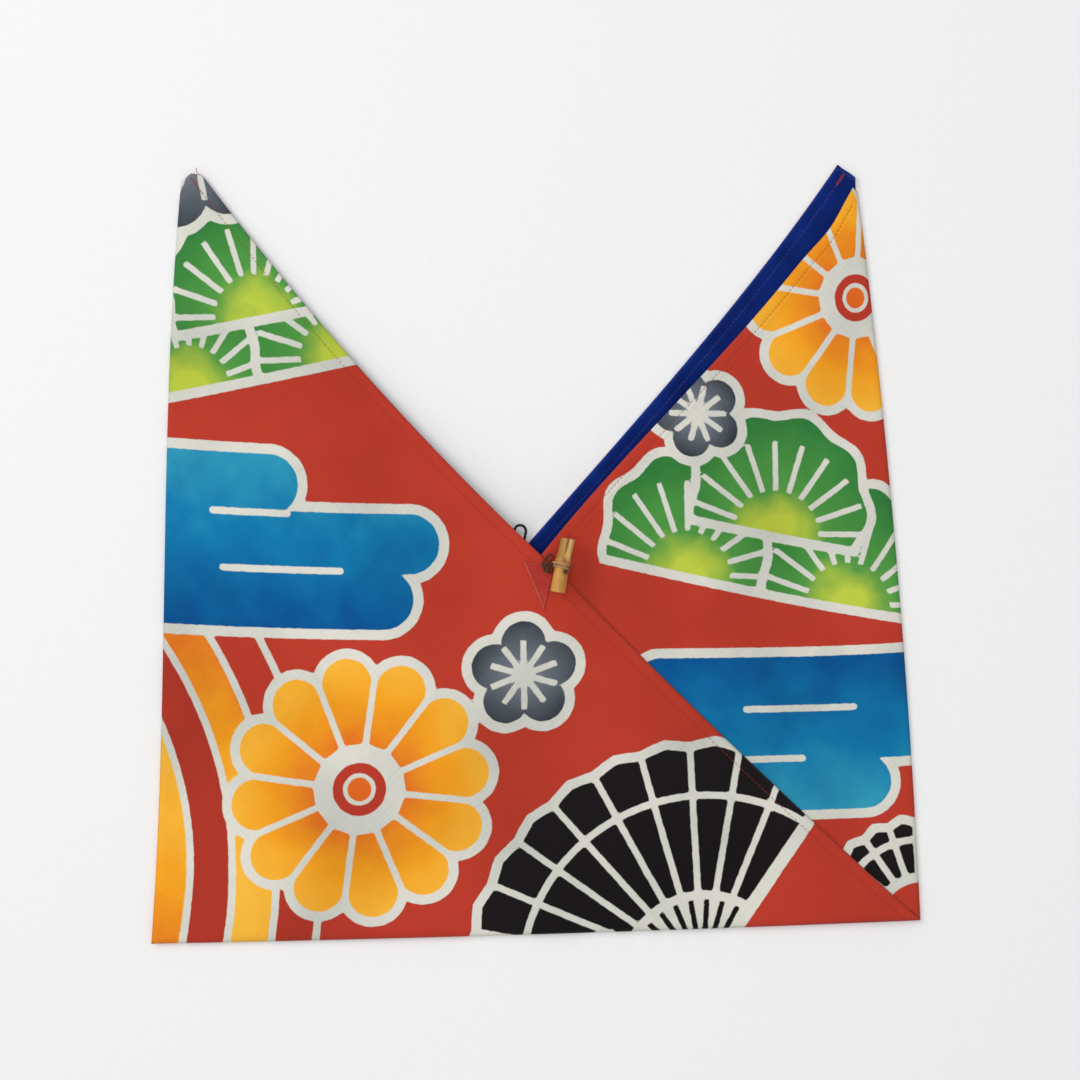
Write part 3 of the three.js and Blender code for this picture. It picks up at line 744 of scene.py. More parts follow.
def dyed_design(x, y):
    """The whole strip's design: fans, pine, chrysanthemum, plum and mist on a vermilion ground."""
    stencil = Stencil(x, y)
    ribbons(stencil, (-372, -178), 168, -24, 66, ("gold", "red", "gold", "red"), 20)
    mist(stencil, (-262, -24), (176, 150, 96), (0, 40, 14), 33)
    pine_bough(stencil, (-164, 128), 54, 14)
    chrysanthemum(stencil, (-98, -128), 74, 8)
    open_fan(stencil, (92, -236), 46, 128, 56, 112)
    plum_blossom(stencil, (-8, -66), 31, 20)
    plum_blossom(stencil, (-206, 214), 46, 36)
    open_fan(stencil, right_panel(212, -212), 27, 56, 64, -58, 8, sticks=False)
    mist(stencil, right_panel(250, -74), (182, 140, 78), (0, 24, 66), 31)
    pine_bough(stencil, right_panel(142, 14), 58, 168)
    plum_blossom(stencil, right_panel(100, 82), 27, 0)
    chrysanthemum(stencil, right_panel(202, 146), 68, 4)
    open_fan(stencil, (-60, -420), 44, 118, 56, 60)
    pine_bough(stencil, (-40, -262), 52, 190)
    chrysanthemum(stencil, (118, -352), 68, 0)
    plum_blossom(stencil, (172, -458), 32, 0)
    mist(stencil, (0, -560), (180, 140, 90), (0, 30, 10), 32)
    pine_bough(stencil, (-338, 10), 58, 100)
    plum_blossom(stencil, (-266, 122), 31, 30)
    return stencil


# The cloth as it lies

def smoothstep(value):
    value = np.clip(value, 0, 1)
    return value * value * (3 - 2 * value)


def flat_square(s, t):
    """A place on the strip, in the axes of the folded square."""
    return 2 * HALF_FLAT - (t + s) / math.sqrt(2), -2 * HALF_FLAT + (s - t) / math.sqrt(2)


def ripple(x, y):
    """Gentle unevenness of cloth that was folded and laid out again; the patch holds it flat."""
    low = [noise.noise(Vector((a / 95, b / 80, 3.1))) for a, b in zip(x, y)]
    fine = [noise.noise(Vector((a / 34 + b / 90, b / 40, 7.7))) for a, b in zip(x, y)]
    calm = 1 - np.exp(-(x ** 2 + y ** 2) / CALM_RADIUS ** 2)
    return RIPPLE * calm * (np.array(low) + RIPPLE_FINE * np.array(fine))


def bowed(corners, shares, bows):
    """A panel's plan: shares of three corners, with each edge bowed sideways."""
    plan = sum(np.outer(share, corner) for share, corner in zip(shares, corners))
    for (first, second), (even, early) in bows.items():
        run = corners[second] - corners[first]
        leftward = np.array((-run[1], run[0])) / np.hypot(*run)
        swing = 4 * shares[first] * shares[second] * (even + early * (shares[first] - shares[second]))
        plan = plan + np.outer(swing, leftward)
    return plan


def soft_least(first, second, softness):
    """The lesser of two values, rounded off where they meet."""
    meeting = np.maximum(softness - np.abs(first - second), 0) / softness
    return np.minimum(first, second) - meeting ** 2 * softness / 4


def rolled(face, other_face, inward):
    """Height of a face that rolls round to the other face at a folded edge."""
    middle = (face + other_face) / 2
    near = 1 - np.clip(inward / EDGE_ROLL, 0, 1)
    return middle + (face - middle) * np.sqrt(1 - near ** 2)


def hem_relief(hem):
    """A sewn edge: thicker where it is folded double, sunk along the stitches, turned under at the rim."""
    step = HEM_STEP * smoothstep((HEM_WIDTH - hem) / HEM_STEP_FADE)
    sink = STITCH_SINK * np.exp(-((hem - HEM_LINE) / STITCH_SINK_WIDTH) ** 2)
    return step - sink - HEM_DROP * np.clip(1 - hem / HEM_TURN, 0, 1) ** 2


def gathers(x, y):
    """Small folds that run down from the patch's point."""
    aside = x - PATCH_CORNERS[1][0]
    below = PATCH_CORNERS[1][1] - y
    fade = np.exp(-np.hypot(aside * GATHER_NARROWING, below) / GATHER_REACH)
    fade = fade * smoothstep(1 + below / GATHER_START)
    return GATHER * fade * np.cos(2 * math.pi * aside / GATHER_PITCH)


def front_left_cloth(s, t, depth=0.0):
    """Front left and base panels, which hang together over the lower left corner."""
    w = STRIP_WIDTH
    up = s >= 2 * w
    notch = np.where(up, 1 - (s - 2 * w + t) / w, (s - w - t) / w)
    left = np.stack((s / w - 2, t / w, notch))
    base = np.stack((2 - s / w, t / w, notch))
    over = bowed((LEFT_PEAK, LOWER_LEFT, NOTCH), left, {(2, 0): LEFT_MOUTH_BOW, (0, 1): LEFT_SIDE_BOW})
    below = bowed((LOWER_RIGHT, LOWER_LEFT, NOTCH), base, {(2, 0): SEAM_BOW, (1, 0): BOTTOM_BOW})
    plan = np.where(up[:, None], over, below)
    flat_x, flat_y = flat_square(s, t)
    rise = np.clip(soft_least(1 + flat_x / HALF_FLAT, 1 + flat_y / HALF_FLAT, CREASE_SOFTNESS), 0, 1)
    far_share = np.where(up, left[0], base[0]) / np.maximum(1 - notch, TINY)
    far_height = np.where(up, EAR_HEIGHT, LOWER_RIGHT_HEIGHT)
    rim = LOWER_LEFT_HEIGHT + (far_height - LOWER_LEFT_HEIGHT) * np.clip(far_share, 0, 1)
    face = rim + (MOUTH_HEIGHT - rim) * rise ** SAG_POWER
    inward = np.clip(notch, 0, 1) * HALF_FLAT
    on_seam = smoothstep((2 * w - LAP_PRESS_START - s) / LAP_PRESS_FADE)
    press = LAP_PRESS * on_seam * np.clip(1 - t / LAP_PRESS_WIDTH, 0, 1)
    corner = (3 * w - EAR_CUT - EAR_CHAMFER - s + t) / math.sqrt(2)
    hem = np.minimum(np.minimum(t, 3 * w - EAR_CUT - s), corner)
    face = face + ripple(*plan.T) * smoothstep(inward / RIPPLE_FADE) - press
    face = face + hem_relief(hem) + gathers(*plan.T)
    under = np.where(up, BACK_LAP_HEIGHT * smoothstep(left[1]), 0.0)
    return np.column_stack((plan, rolled(face - depth, under + depth, inward))), hem


def front_right_cloth(s, t, depth=0.0):
    """Front right panel, whose lower edge runs under the lapped seam."""
    w = STRIP_WIDTH
    shares = np.stack((t / w, s / w, 1 - (s + t) / w))
    plan = bowed((RIGHT_PEAK, LOWER_RIGHT, NOTCH), shares,
                 {(2, 0): RIGHT_MOUTH_BOW, (1, 0): RIGHT_SIDE_BOW, (2, 1): SEAM_BOW})
    reach = shares[0] / np.maximum(shares[0] + shares[2], TINY)
    slump = np.exp(-((reach - SLUMP_PLACE) / SLUMP_SPREAD) ** 2)
    slump = slump * (1 - np.clip(shares[1], 0, 1)) ** SLUMP_FADE
    inward = np.clip(shares[2], 0, 1) * HALF_FLAT
    tuck = smoothstep(1 - (w - t) / FRONT_TIP_TUCK_LENGTH) * np.clip(1 - inward / EDGE_ROLL, 0, 1)
    plan = plan + np.outer(slump, EAR_SLUMP) + np.outer(tuck, FRONT_TIP_TUCK)
    rise = np.clip(shares[2], 0, 1.1)
    face = EAR_HEIGHT + (UNDER_MOUTH_HEIGHT - EAR_HEIGHT) * rise ** SAG_POWER
    hem = np.minimum(s, w - FRONT_RIGHT_EAR_CUT - t)
    face = face + ripple(*plan.T) * smoothstep(inward / RIPPLE_FADE) + hem_relief(hem)
    return np.column_stack((plan, rolled(face - depth, depth, inward))), hem


def right_tip_bare(s):
    """How far a place is on the right ear's tip, past the end of the front panel."""
    return smoothstep((RIGHT_TIP_BARE - s) / RIGHT_TIP_FADE)


def back_right_cloth(s, t, depth=0.0):
    """Back base and right panels, flat on the table."""
    w = STRIP_WIDTH
    up = s <= w
    right = np.stack((1 - s / w, 1 - t / w, (s + t) / w - 1))
    base = np.stack((s / w - 1, 1 - t / w, (t - s) / w + 1))
    over = bowed((BACK_RIGHT_PEAK, LOWER_RIGHT, BACK_NOTCH), right,
                 {(2, 0): BACK_RIGHT_MOUTH_BOW, (1, 0): RIGHT_SIDE_BOW})
    below = bowed((LOWER_LEFT, LOWER_RIGHT, BACK_NOTCH), base, {(0, 1): BOTTOM_BOW})
    plan = np.where(up[:, None], over, below)
    inward = np.where(up, right[2], base[2]) * HALF_FLAT
    lean = right_tip_bare(s) * np.clip(1 - (inward / TIP_LEAN_REACH) ** 2, 0, 1)
    plan = plan + np.outer(lean, TIP_LEAN)
    base_height = LOWER_LEFT_HEIGHT + (LOWER_RIGHT_HEIGHT - LOWER_LEFT_HEIGHT) * (1 - base[0])
    height = rolled(depth, np.where(up, EAR_HEIGHT, base_height) - depth, inward)
    if depth:
        height = height + RIGHT_TIP_LIFT * right_tip_bare(s) * np.clip(1 - inward / EDGE_ROLL, 0, 1)
    return np.column_stack((plan, height)), np.minimum(w - t, s - BACK_RIGHT_EAR_CUT)


def back_left_cloth(s, t, depth=0.0):
    """Back left panel, which lies over the back seam inside the bag."""
    w = STRIP_WIDTH
    shares = np.stack((1 - t / w, 3 - s / w, (t + s) / w - 3))
    plan = bowed((BACK_LEFT_PEAK, LOWER_LEFT, BACK_NOTCH), shares,
                 {(2, 0): BACK_LEFT_MOUTH_BOW, (0, 1): LEFT_SIDE_BOW})
    inward = np.clip(shares[2], 0, 1) * HALF_FLAT
    floor = BACK_LAP_HEIGHT * np.clip(1 - shares[0], 0, 1)
    rim = LOWER_LEFT_HEIGHT + (EAR_HEIGHT - LOWER_LEFT_HEIGHT) * np.clip(shares[0], 0, 1)
    corner = (t + 3 * w - s - EAR_CUT - EAR_CHAMFER) / math.sqrt(2)
    hem = np.minimum(np.minimum(3 * w - s, t - EAR_CUT), corner)
    return np.column_stack((plan, rolled(floor + depth, rim - depth, inward))), hem


def front_left_cut(s, t):
    w = STRIP_WIDTH
    blunt = (s <= 3 * w - EAR_CUT) & (s - t <= 3 * w - EAR_CUT - EAR_CHAMFER)
    return (t >= 0) & blunt & (t <= s - w) & (t <= 3 * w - s)


def front_right_cut(s, t):
    w = STRIP_WIDTH
    lapped = (t >= -LAP) & (t >= s - w + LAP_TRIM)
    return (s >= 0) & (t <= w - FRONT_RIGHT_EAR_CUT) & (s + t <= w) & ((t >= 0) | lapped)


def back_right_cut(s, t):
    w = STRIP_WIDTH
    return (t <= w) & (s >= BACK_RIGHT_EAR_CUT) & (s + t >= w) & (t >= s - w)


def back_left_cut(s, t):
    w = STRIP_WIDTH
    lapped = (t <= w + LAP) & (t <= s - w - LAP_TRIM)
    blunt = (t >= EAR_CUT) & (t + 3 * w - s >= EAR_CUT + EAR_CHAMFER)
    return (s <= 3 * w) & blunt & (t >= 3 * w - s) & ((t <= w) | lapped)


def set_back(cut, s, t):
    """Where the lining lies on the strip: inside the folds, and short of the sewn edges or edging them."""
    w = STRIP_WIDTH
    inset = LINING_INSET / math.sqrt(2)
    if cut is front_left_cut:
        near = np.where(s >= 2 * w, s - 2 * w, 2 * w - s) / w + t / w
        way = np.where(s >= 2 * w, -1, 1)
        hemmed = LINING_SETBACK + t * (1 - LINING_SETBACK / w)
        return s + way * inset * near, hemmed - inset * near * (t > 0)
    if cut is front_right_cut:
        near = np.clip((s + t) / w, 0, 1)
        return LINING_SETBACK + s * (1 - LINING_SETBACK / w) - inset * near, t - inset * near
    if cut is back_right_cut:
        near = np.where(s <= w, 2 - (s + t) / w, (s - t) / w)
        way = np.where(s <= w, 1, -1)
        tip = RIGHT_TIP_EDGING * np.clip(1 - (s - BACK_RIGHT_EAR_CUT) / LINING_CELL, 0, 1)
        inset = inset + (RIGHT_TIP_INSET - LINING_INSET) / math.sqrt(2) * right_tip_bare(s)
        return s + way * inset * near - tip, t + LINING_EDGING + inset * near * (t < w)
    near = np.clip(4 - (s + t) / w, 0, 1)
    return s - LINING_SETBACK * (s / w - 2) + inset * near, t + inset * near


def lattice(cut, cell):
    """Places on the strip inside a cut, on a square lattice, and the faces between them."""
    columns = np.arange(0, 3 * STRIP_WIDTH + cell / 2, cell)
    pad = math.ceil(LAP / cell) * cell
    rows = np.arange(-pad, STRIP_WIDTH + pad + cell / 2, cell)
    s, t = np.meshgrid(columns, rows, indexing="ij")
    kept = cut(np.round(s, 6), np.round(t, 6))
    index = np.full(s.shape, -1)
    index[kept] = np.arange(kept.sum())
    corners = np.stack((index[:-1, :-1], index[1:, :-1], index[1:, 1:], index[:-1, 1:]), -1).reshape(-1, 4)
    inside = (corners >= 0).sum(1)
    faces = [tuple(c) for c in corners[inside == 4].tolist()]
    faces += [tuple(i for i in c if i >= 0) for c in corners[inside == 3].tolist()]
    used = np.unique(np.concatenate([np.array(f) for f in faces]))
    fresh = np.full(kept.sum(), -1)
    fresh[used] = np.arange(len(used))
    faces = [tuple(int(fresh[i]) for i in f) for f in faces]
    return s[kept][used], t[kept][used], faces


def new_object(name, mesh, material):
    piece = bpy.data.objects.new(name, mesh)
    bpy.context.scene.collection.objects.link(piece)
    mesh.materials.clear()
    mesh.materials.append(material)
    mesh.shade_smooth()
    return piece


def settled(piece):
    """The piece with its modifiers made plain mesh."""
    bpy.context.view_layer.update()
    graph = bpy.context.evaluated_depsgraph_get()
    mesh = bpy.data.meshes.new_from_object(
        piece.evaluated_get(graph), preserve_all_data_layers=True, depsgraph=graph)
    piece.modifiers.clear()
    piece.data = mesh
    return piece


def point_values(mesh, name, values):
    """One number or vector for each point, for a material to read."""
    values = np.asarray(values, np.float32)
    kind, field = ("FLOAT_VECTOR", "vector") if values.ndim == 2 else ("FLOAT", "value")
    mesh.attributes.new(name, kind, "POINT").data.foreach_set(field, values.ravel())


def strip_map(mesh, name, flat):
    """A UV map, in metres, from a place for each point."""
    layer = mesh.uv_layers.new(name=name)
    order = np.zeros(len(mesh.loops), np.int32)
    mesh.loops.foreach_get("vertex_index", order)
    layer.data.foreach_set("uv", np.asarray(flat, np.float32)[order].ravel())


UP = 1
DOWN = -1


def ply(name, places, faces, facing, flat, thickness, material, **values):
    """A sheet of cloth with its points in millimetres, given its thickness on the inner side."""
    a, b, c = (places[i] for i in faces[0][:3])
    if np.cross(b - a, c - a)[2] * facing < 0:
        faces = [f[::-1] for f in faces]
    mesh = bpy.data.meshes.new(name)
    mesh.from_pydata((places * MM).tolist(), [], faces)
    strip_map(mesh, "strip", flat * MM)
    for title, numbers in values.items():
        point_values(mesh, title, numbers)
    piece = new_object(name, mesh, material)
    thickened = piece.modifiers.new("ply", "SOLIDIFY")
    thickened.thickness = thickness * MM
    thickened.offset = -1.0
    return settled(piece)


def dyes(s, t):
    """How far each place on the strip is from each dye, and how it is shaded."""
    design = dyed_design(*flat_square(s, t))
    reach = [np.clip(design.reach[name], -FAR, FAR) for name in COLOURS]
    return {"dye_a": np.column_stack(reach[:3]), "dye_b": np.column_stack(reach[3:]), "shade": design.shade}


def outer_ply(name, cloth_at, cut, facing):
    s, t, faces = lattice(cut, OUTER_CELL)
    places, hem = cloth_at(s, t)
    flat = np.column_stack((s, t))
    return ply(name, places, faces, facing, flat, OUTER_PLY, DYED_COTTON, hem=hem, **dyes(s, t))


def lining_ply(name, cloth_at, cut, facing):
    s, t, faces = lattice(cut, LINING_CELL)
    places, hem = cloth_at(*set_back(cut, s, t), LINING_DEPTH)
    flat = np.column_stack((s, t))
    return ply(name, places, faces, facing, flat, LINING_PLY, LINING_COTTON, hem=hem)


# Panels: names of both plies, how they lie, cut, facing, ear, and the solids that they stand for
PANELS = (
    ("dyed_front_left", "lining_front_left_base", front_left_cloth, front_left_cut, UP, "left_ear",
     ("front_left", "front_base", "front_left_ear"), ("bottom_fold", "left_fold", "left_ear_fold")),
    ("dyed_front_right", "lining_front_right_panel", front_right_cloth, front_right_cut, UP, "right_ear",
     ("front_right", "front_right_ear"), ("right_fold", "right_ear_fold")),
    ("dyed_back_right", "lining_back_right_base", back_right_cloth, back_right_cut, DOWN, "right_ear",
     ("back_base", "back_right", "back_right_ear"), ()),
    ("dyed_back_left", "lining_back_left_panel", back_left_cloth, back_left_cut, DOWN, "left_ear",
     ("back_left", "back_left_ear"), ()))
outers = [outer_ply(name, *laid) for name, _, *laid, _, _, _ in PANELS]
linings = [lining_ply(name, *laid) for _, name, *laid, _, _, _ in PANELS]


# Stitches, each a short thread sunk at both ends, set along a sewn line

def stitching():
    """A node tree that sets stitches along lines."""
    tree = bpy.data.node_groups.new("stitching", "GeometryNodeTree")
    tree.interface.new_socket("Geometry", in_out="OUTPUT", socket_type="NodeSocketGeometry")
    for name, kind in (
            ("Geometry", "Geometry"), ("Pitch", "Float"), ("Length", "Float"), ("Thread", "Float"),
            ("Slant", "Float"), ("Seed", "Int"), ("Material", "Material")):
        tree.interface.new_socket(name, in_out="INPUT", socket_type="NodeSocket" + kind)
    given = tree.nodes.new("NodeGroupInput").outputs

    def add(kind, sockets, **settings):
        return add_node(tree, kind, settings, sockets).outputs

    lines = add("GeometryNodeMeshToCurve", {"Mesh": given["Geometry"]})["Curve"]
    spots = add("GeometryNodeCurveToPoints", {"Curve": lines, "Length": given["Pitch"]}, mode="LENGTH")
    ahead = {"Vector": spots["Tangent"]}
    along = add("FunctionNodeAlignRotationToVector", ahead, axis="X", pivot_axis="Z")[0]
    limits = {"Min": -STITCH_WANDER, "Max": STITCH_WANDER, "Seed": given["Seed"]}
    wander = [s for s in add("FunctionNodeRandomValue", limits, data_type="FLOAT") if s.enabled][0]
    lean = add("ShaderNodeMath", {0: given["Slant"], 1: wander}, operation="ADD")[0]
    turn = add("FunctionNodeEulerToRotation", {0: add("ShaderNodeCombineXYZ", {"Z": lean})[0]})[0]
    aimed = add("FunctionNodeRotateRotation", {0: along, 1: turn}, rotation_space="LOCAL")[0]
    bead = add("GeometryNodeMeshUVSphere", {"Segments": 6, "Rings": 5, "Radius": 0.5})["Mesh"]
    thread = given["Thread"]
    size = add("ShaderNodeCombineXYZ", {"X": given["Length"], "Y": thread, "Z": thread})[0]
    stitch = add("GeometryNodeTransform", {"Geometry": bead, "Scale": size})[0]
    sockets = {"Points": spots["Points"], "Instance": stitch, "Rotation": aimed}
    real = add("GeometryNodeRealizeInstances", {0: add("GeometryNodeInstanceOnPoints", sockets)[0]})[0]
    smooth = add("GeometryNodeSetShadeSmooth", {"Geometry": real})[0]
    coloured = add("GeometryNodeSetMaterial", {"Geometry": smooth, "Material": given["Material"]})[0]
    add("NodeGroupOutput", {"Geometry": coloured})
    return tree


STITCHING = stitching()


def sewn(name, line, thread, stitch, seed):
    """Stitches along a line of points in millimetres, as one plain mesh."""
    pitch, length, thickness, slant = stitch
    mesh = bpy.data.meshes.new(name)
    mesh.from_pydata((line * MM).tolist(), [(i, i + 1) for i in range(len(line) - 1)], [])
    piece = new_object(name, mesh, thread)
    sewing = piece.modifiers.new("stitching", "NODES")
    sewing.node_group = STITCHING
    values = {
        "Pitch": pitch * MM, "Length": length * MM, "Thread": thickness * MM, "Slant": slant, "Seed": seed,
        "Material": thread}
    for item in STITCHING.interface.items_tree:
        if item.in_out == "INPUT" and item.name in values:
            sewing[item.identifier] = values[item.name]
    return settled(piece)


def sewn_line(cloth_at, s_ends, t_ends, lift, depth, count):
    """Points on a panel's face along a straight line of the strip, lifted off it."""
    places, _ = cloth_at(np.linspace(*s_ends, count), np.linspace(*t_ends, count), depth)
    places[:, 2] += lift
    return places


ON_TOP = 0.02
BELOW = -0.02
ON_LINING = LINING_PLY + ON_TOP
TACK_ON_LINING = LINING_PLY + 0.1
STRIP_LENGTH = 3 * STRIP_WIDTH
LEFT_TIP = STRIP_LENGTH - EAR_CUT
RIGHT_TIP = BACK_RIGHT_EAR_CUT
NEAR_HEM = (HEM_LINE, HEM_LINE)
FAR_HEM = (STRIP_WIDTH - HEM_LINE, STRIP_WIDTH - HEM_LINE)
END_HEM = (STRIP_LENGTH - HEM_LINE, STRIP_LENGTH - HEM_LINE)

# Sewn lines: name, ear, thread, stitch, panel, ends along and across the strip, lift, depth and points
SEWN_LINES = (
    ("stitches_front_left", "left_ear", BRICK_THREAD, HEM_STITCH,
     front_left_cloth, (STRIP_WIDTH + 9, LEFT_TIP - 3), NEAR_HEM, ON_TOP, 0.0, 320),
    ("stitches_front_right", "right_ear", BRICK_THREAD, HEM_STITCH,
     front_right_cloth, NEAR_HEM, (4, STRIP_WIDTH - 14), ON_TOP, 0.0, 160),
    ("stitches_back_right", "right_ear", BRICK_THREAD, HEM_STITCH,
     back_right_cloth, (RIGHT_TIP + 3, 2 * STRIP_WIDTH - 9), FAR_HEM, BELOW, 0.0, 320),
    ("stitches_back_left", "left_ear", BRICK_THREAD, HEM_STITCH,
     back_left_cloth, END_HEM, (14, STRIP_WIDTH - 4), BELOW, 0.0, 160),
    ("stitches_inside_right", "right_ear", BOBBIN_THREAD, HEM_STITCH,
     back_right_cloth, (RIGHT_TIP + 7, STRIP_WIDTH - 6), FAR_HEM, ON_LINING, LINING_DEPTH, 160),
    ("tack_inside_right", "right_ear", BRICK_THREAD, INSIDE_TACK,
     back_right_cloth, (RIGHT_TIP + 1, RIGHT_TIP + 8), FAR_HEM, TACK_ON_LINING, LINING_DEPTH, 24),
    ("tack_front_left", "left_ear", BRICK_THREAD, FRONT_TACK,
     front_left_cloth, (LEFT_TIP - 12, LEFT_TIP - 2), NEAR_HEM, ON_TOP, 0.0, 24))
stitches = []
for number, (name, ear, thread, stitch, *line) in enumerate(SEWN_LINES):
    stitches.append((sewn(name, sewn_line(*line), thread, stitch, FIRST_SEED + 2 * number), ear))


# Cords

def walk(route):
    """How far along a route each of its points is."""
    return np.concatenate(([0], np.cumsum(np.linalg.norm(np.diff(route, axis=0), axis=1))))


def smooth_route(points, count):
    """Points evenly spaced along a centripetal curve through the given ones."""
    points = [np.array(p, float) for p in points]
    points = [2 * points[0] - points[1], *points, 2 * points[-1] - points[-2]]
    fine = []
    for p0, p1, p2, p3 in zip(points, points[1:], points[2:], points[3:]):
        k1 = np.linalg.norm(p1 - p0) ** 0.5
        k2 = k1 + np.linalg.norm(p2 - p1) ** 0.5
        k3 = k2 + np.linalg.norm(p3 - p2) ** 0.5
        for k in np.linspace(k1, k2, CURVE_STEPS, endpoint=False):
            a1 = ((k1 - k) * p0 + k * p1) / k1
            a2 = ((k2 - k) * p1 + (k - k1) * p2) / (k2 - k1)
            a3 = ((k3 - k) * p2 + (k - k2) * p3) / (k3 - k2)
            b1 = ((k2 - k) * a1 + k * a2) / k2
            b2 = ((k3 - k) * a2 + (k - k1) * a3) / (k3 - k1)
            fine.append(((k2 - k) * b1 + (k - k1) * b2) / (k2 - k1))
    fine = np.array([*fine, points[-2]])
    walked = walk(fine)
    spots = np.linspace(0, walked[-1], count)
    return np.column_stack([np.interp(spots, walked, fine[:, i]) for i in range(3)])


def tube_faces(rings, sides, forward):
    """Faces between rings of points, with a cap at each end, wound for rings that go forward or back."""
    faces = []
    for i in range(rings - 1):
        for j in range(sides):
            here = i * sides + j
            beside = i * sides + (j + 1) % sides
            ahead = (beside, beside + sides, here + sides)
            faces.append((here, *ahead) if forward else (here, *ahead[::-1]))
    first = tuple(range(sides))
    last = tuple(range((rings - 1) * sides, rings * sides))
    return faces + ([first[::-1], last] if forward else [first, last[::-1]])


def tube(name, points, faces, place, material):
    """A piece from points in millimetres, put in its place."""
    mesh = bpy.data.meshes.new(name)
    mesh.from_pydata(points, [], faces)
    mesh.transform(place)
    mesh.transform(Matrix.Scale(MM, 4))
    return new_object(name, mesh, material)


def spun(route, diameter, sides):
    """A spun cord along a route: rings whose strands turn as they go. Gives points, lay and crowns."""
    ahead = np.gradient(route, axis=0)
    ahead = ahead / np.linalg.norm(ahead, axis=1)[:, None]
    side = np.cross(ahead[0], OFF_ROUTE)
    side = side / np.linalg.norm(side)
    angles = np.arange(sides) * 2 * math.pi / sides
    points = []
    lays = []
    crowns = []
    for place, forward, length in zip(route, ahead, walk(route)):
        side = side - forward * np.dot(side, forward)
        side = side / np.linalg.norm(side)
        other = np.cross(forward, side)
        twist = 2 * math.pi * length / (LAY * diameter)
        swell = np.abs(np.cos(STRANDS * (angles - twist) / 2))
        radius = diameter / 2 * (1 - STRAND_GROOVE + STRAND_GROOVE * swell)
        ring = np.outer(np.cos(angles), side) + np.outer(np.sin(angles), other)
        points += (place + radius[:, None] * ring).tolist()
        for a in angles:
            lays.append(((length + LAY * diameter * a / (2 * math.pi)) * MM, diameter * a / 2 * MM))
        crowns += list(swell)
    return points, lays, crowns


def cords(name, routes, diameter, material, place=Matrix.Identity(4), sides=15):
    """One piece made of one or more spun cords, in millimetres, with one place for them all."""
    points = []
    faces = []
    lays = []
    crowns = []
    for route in routes:
        first = len(points)
        more, lay, crown = spun(route, diameter, sides)
        points += more
        faces += [tuple(first + i for i in f) for f in tube_faces(len(route), sides, True)]
        lays += lay
        crowns += crown
    piece = tube(name, points, faces, place, material)
    strip_map(piece.data, "lay", lays)
    point_values(piece.data, "crown", crowns)
    return piece


def around_loop(angle, depth=0.0):
    out = (LOOP_RADIUS * math.cos(angle), LOOP_RADIUS * math.sin(angle), -depth)
    return np.array(LOOP_CENTRE) + out


def along_leg(past):
    down = LOOP_LEG + past / -MOUTH_EDGE[0]
    return around_loop(0) + (-LOOP_LEG_LEAN * down, -down, 0)


leg_foot = along_leg(LOOP_OVERRUN + LOOP_JOIN)
bight_end = LOOP_END + (LOOP_OVERRUN + LOOP_JOIN) / LOOP_RADIUS
bight_route = [leg_foot, (leg_foot + around_loop(0)) / 2]
bight_route += [around_loop(bight_end * i / 6) for i in range(7)]
loop_bight = cords("cord_loop_bight", [smooth_route(bight_route, 60)], LOOP_CORD, DARK_CORD)

tail_start = around_loop(LOOP_END + (TAIL_SETBACK - LOOP_JOIN) / LOOP_RADIUS)
left_turn = around_loop(math.pi, LOOP_CORD / 2)
root_left = LOOP_ROOT + (-ROOT_TURN, ROOT_FORWARD, ROOT_LIFT)
root_right = LOOP_ROOT + (ROOT_TURN, ROOT_FORWARD, ROOT_LIFT)
right_end = along_leg(TAIL_SETBACK - LOOP_JOIN)
tail_route = [
    tail_start, left_turn, (left_turn + root_left) / 2, root_left, LOOP_ROOT + (0, -ROOT_TURN, 0),
    root_right, (right_end + root_right) / 2, right_end]
loop_tail = cords("cord_loop_tail", [smooth_route(tail_route, 110)], LOOP_CORD, DARK_CORD)

# The end of the sewing thread, left long at the left ear's tip
thread_end = cords(
    "thread_end_left_ear", [smooth_route(THREAD_END, 24)], THREAD_END_CORD, BRICK_THREAD, sides=8)


# The bamboo toggle

def cane_radius(along):
    """An even taper with the swollen node and the sharp scar below it."""
    share = (along - TOGGLE_FOOT) / TOGGLE_LENGTH
    radius = TOGGLE_FOOT_RADIUS + (TOGGLE_TOP_RADIUS - TOGGLE_FOOT_RADIUS) * share
    for more, below, width in NODE_FORMS:
        radius += more * math.exp(-(((along - NODE_PLACE + below) / width) ** 2))
    return radius


def cane_end(level, inwards):
    """Rings of one sawn end, from its pith hollow out to its rim: place along, radius and painted shade."""
    rim = cane_radius(level)
    rings = (
        (PITH_DEPTH, 0.35, 1.0), (PITH_DEPTH, 0.8, 1.0), (PITH_DEPTH - 0.4, PITH_RADIUS, 1.0),
        (0.2, PITH_RADIUS, 0.8), (0.02, PITH_RADIUS + 0.25, 0.2), (0.0, rim - 2.0, 0.0),
        (0.0, rim - 1.2, 0.0), (0.0, rim - 0.55, 0.0), (0.1, rim - 0.22, 0.0), (0.3, rim - 0.05, 0.0))
    return [(level + inwards * depth, radius, shade) for depth, radius, shade in rings]


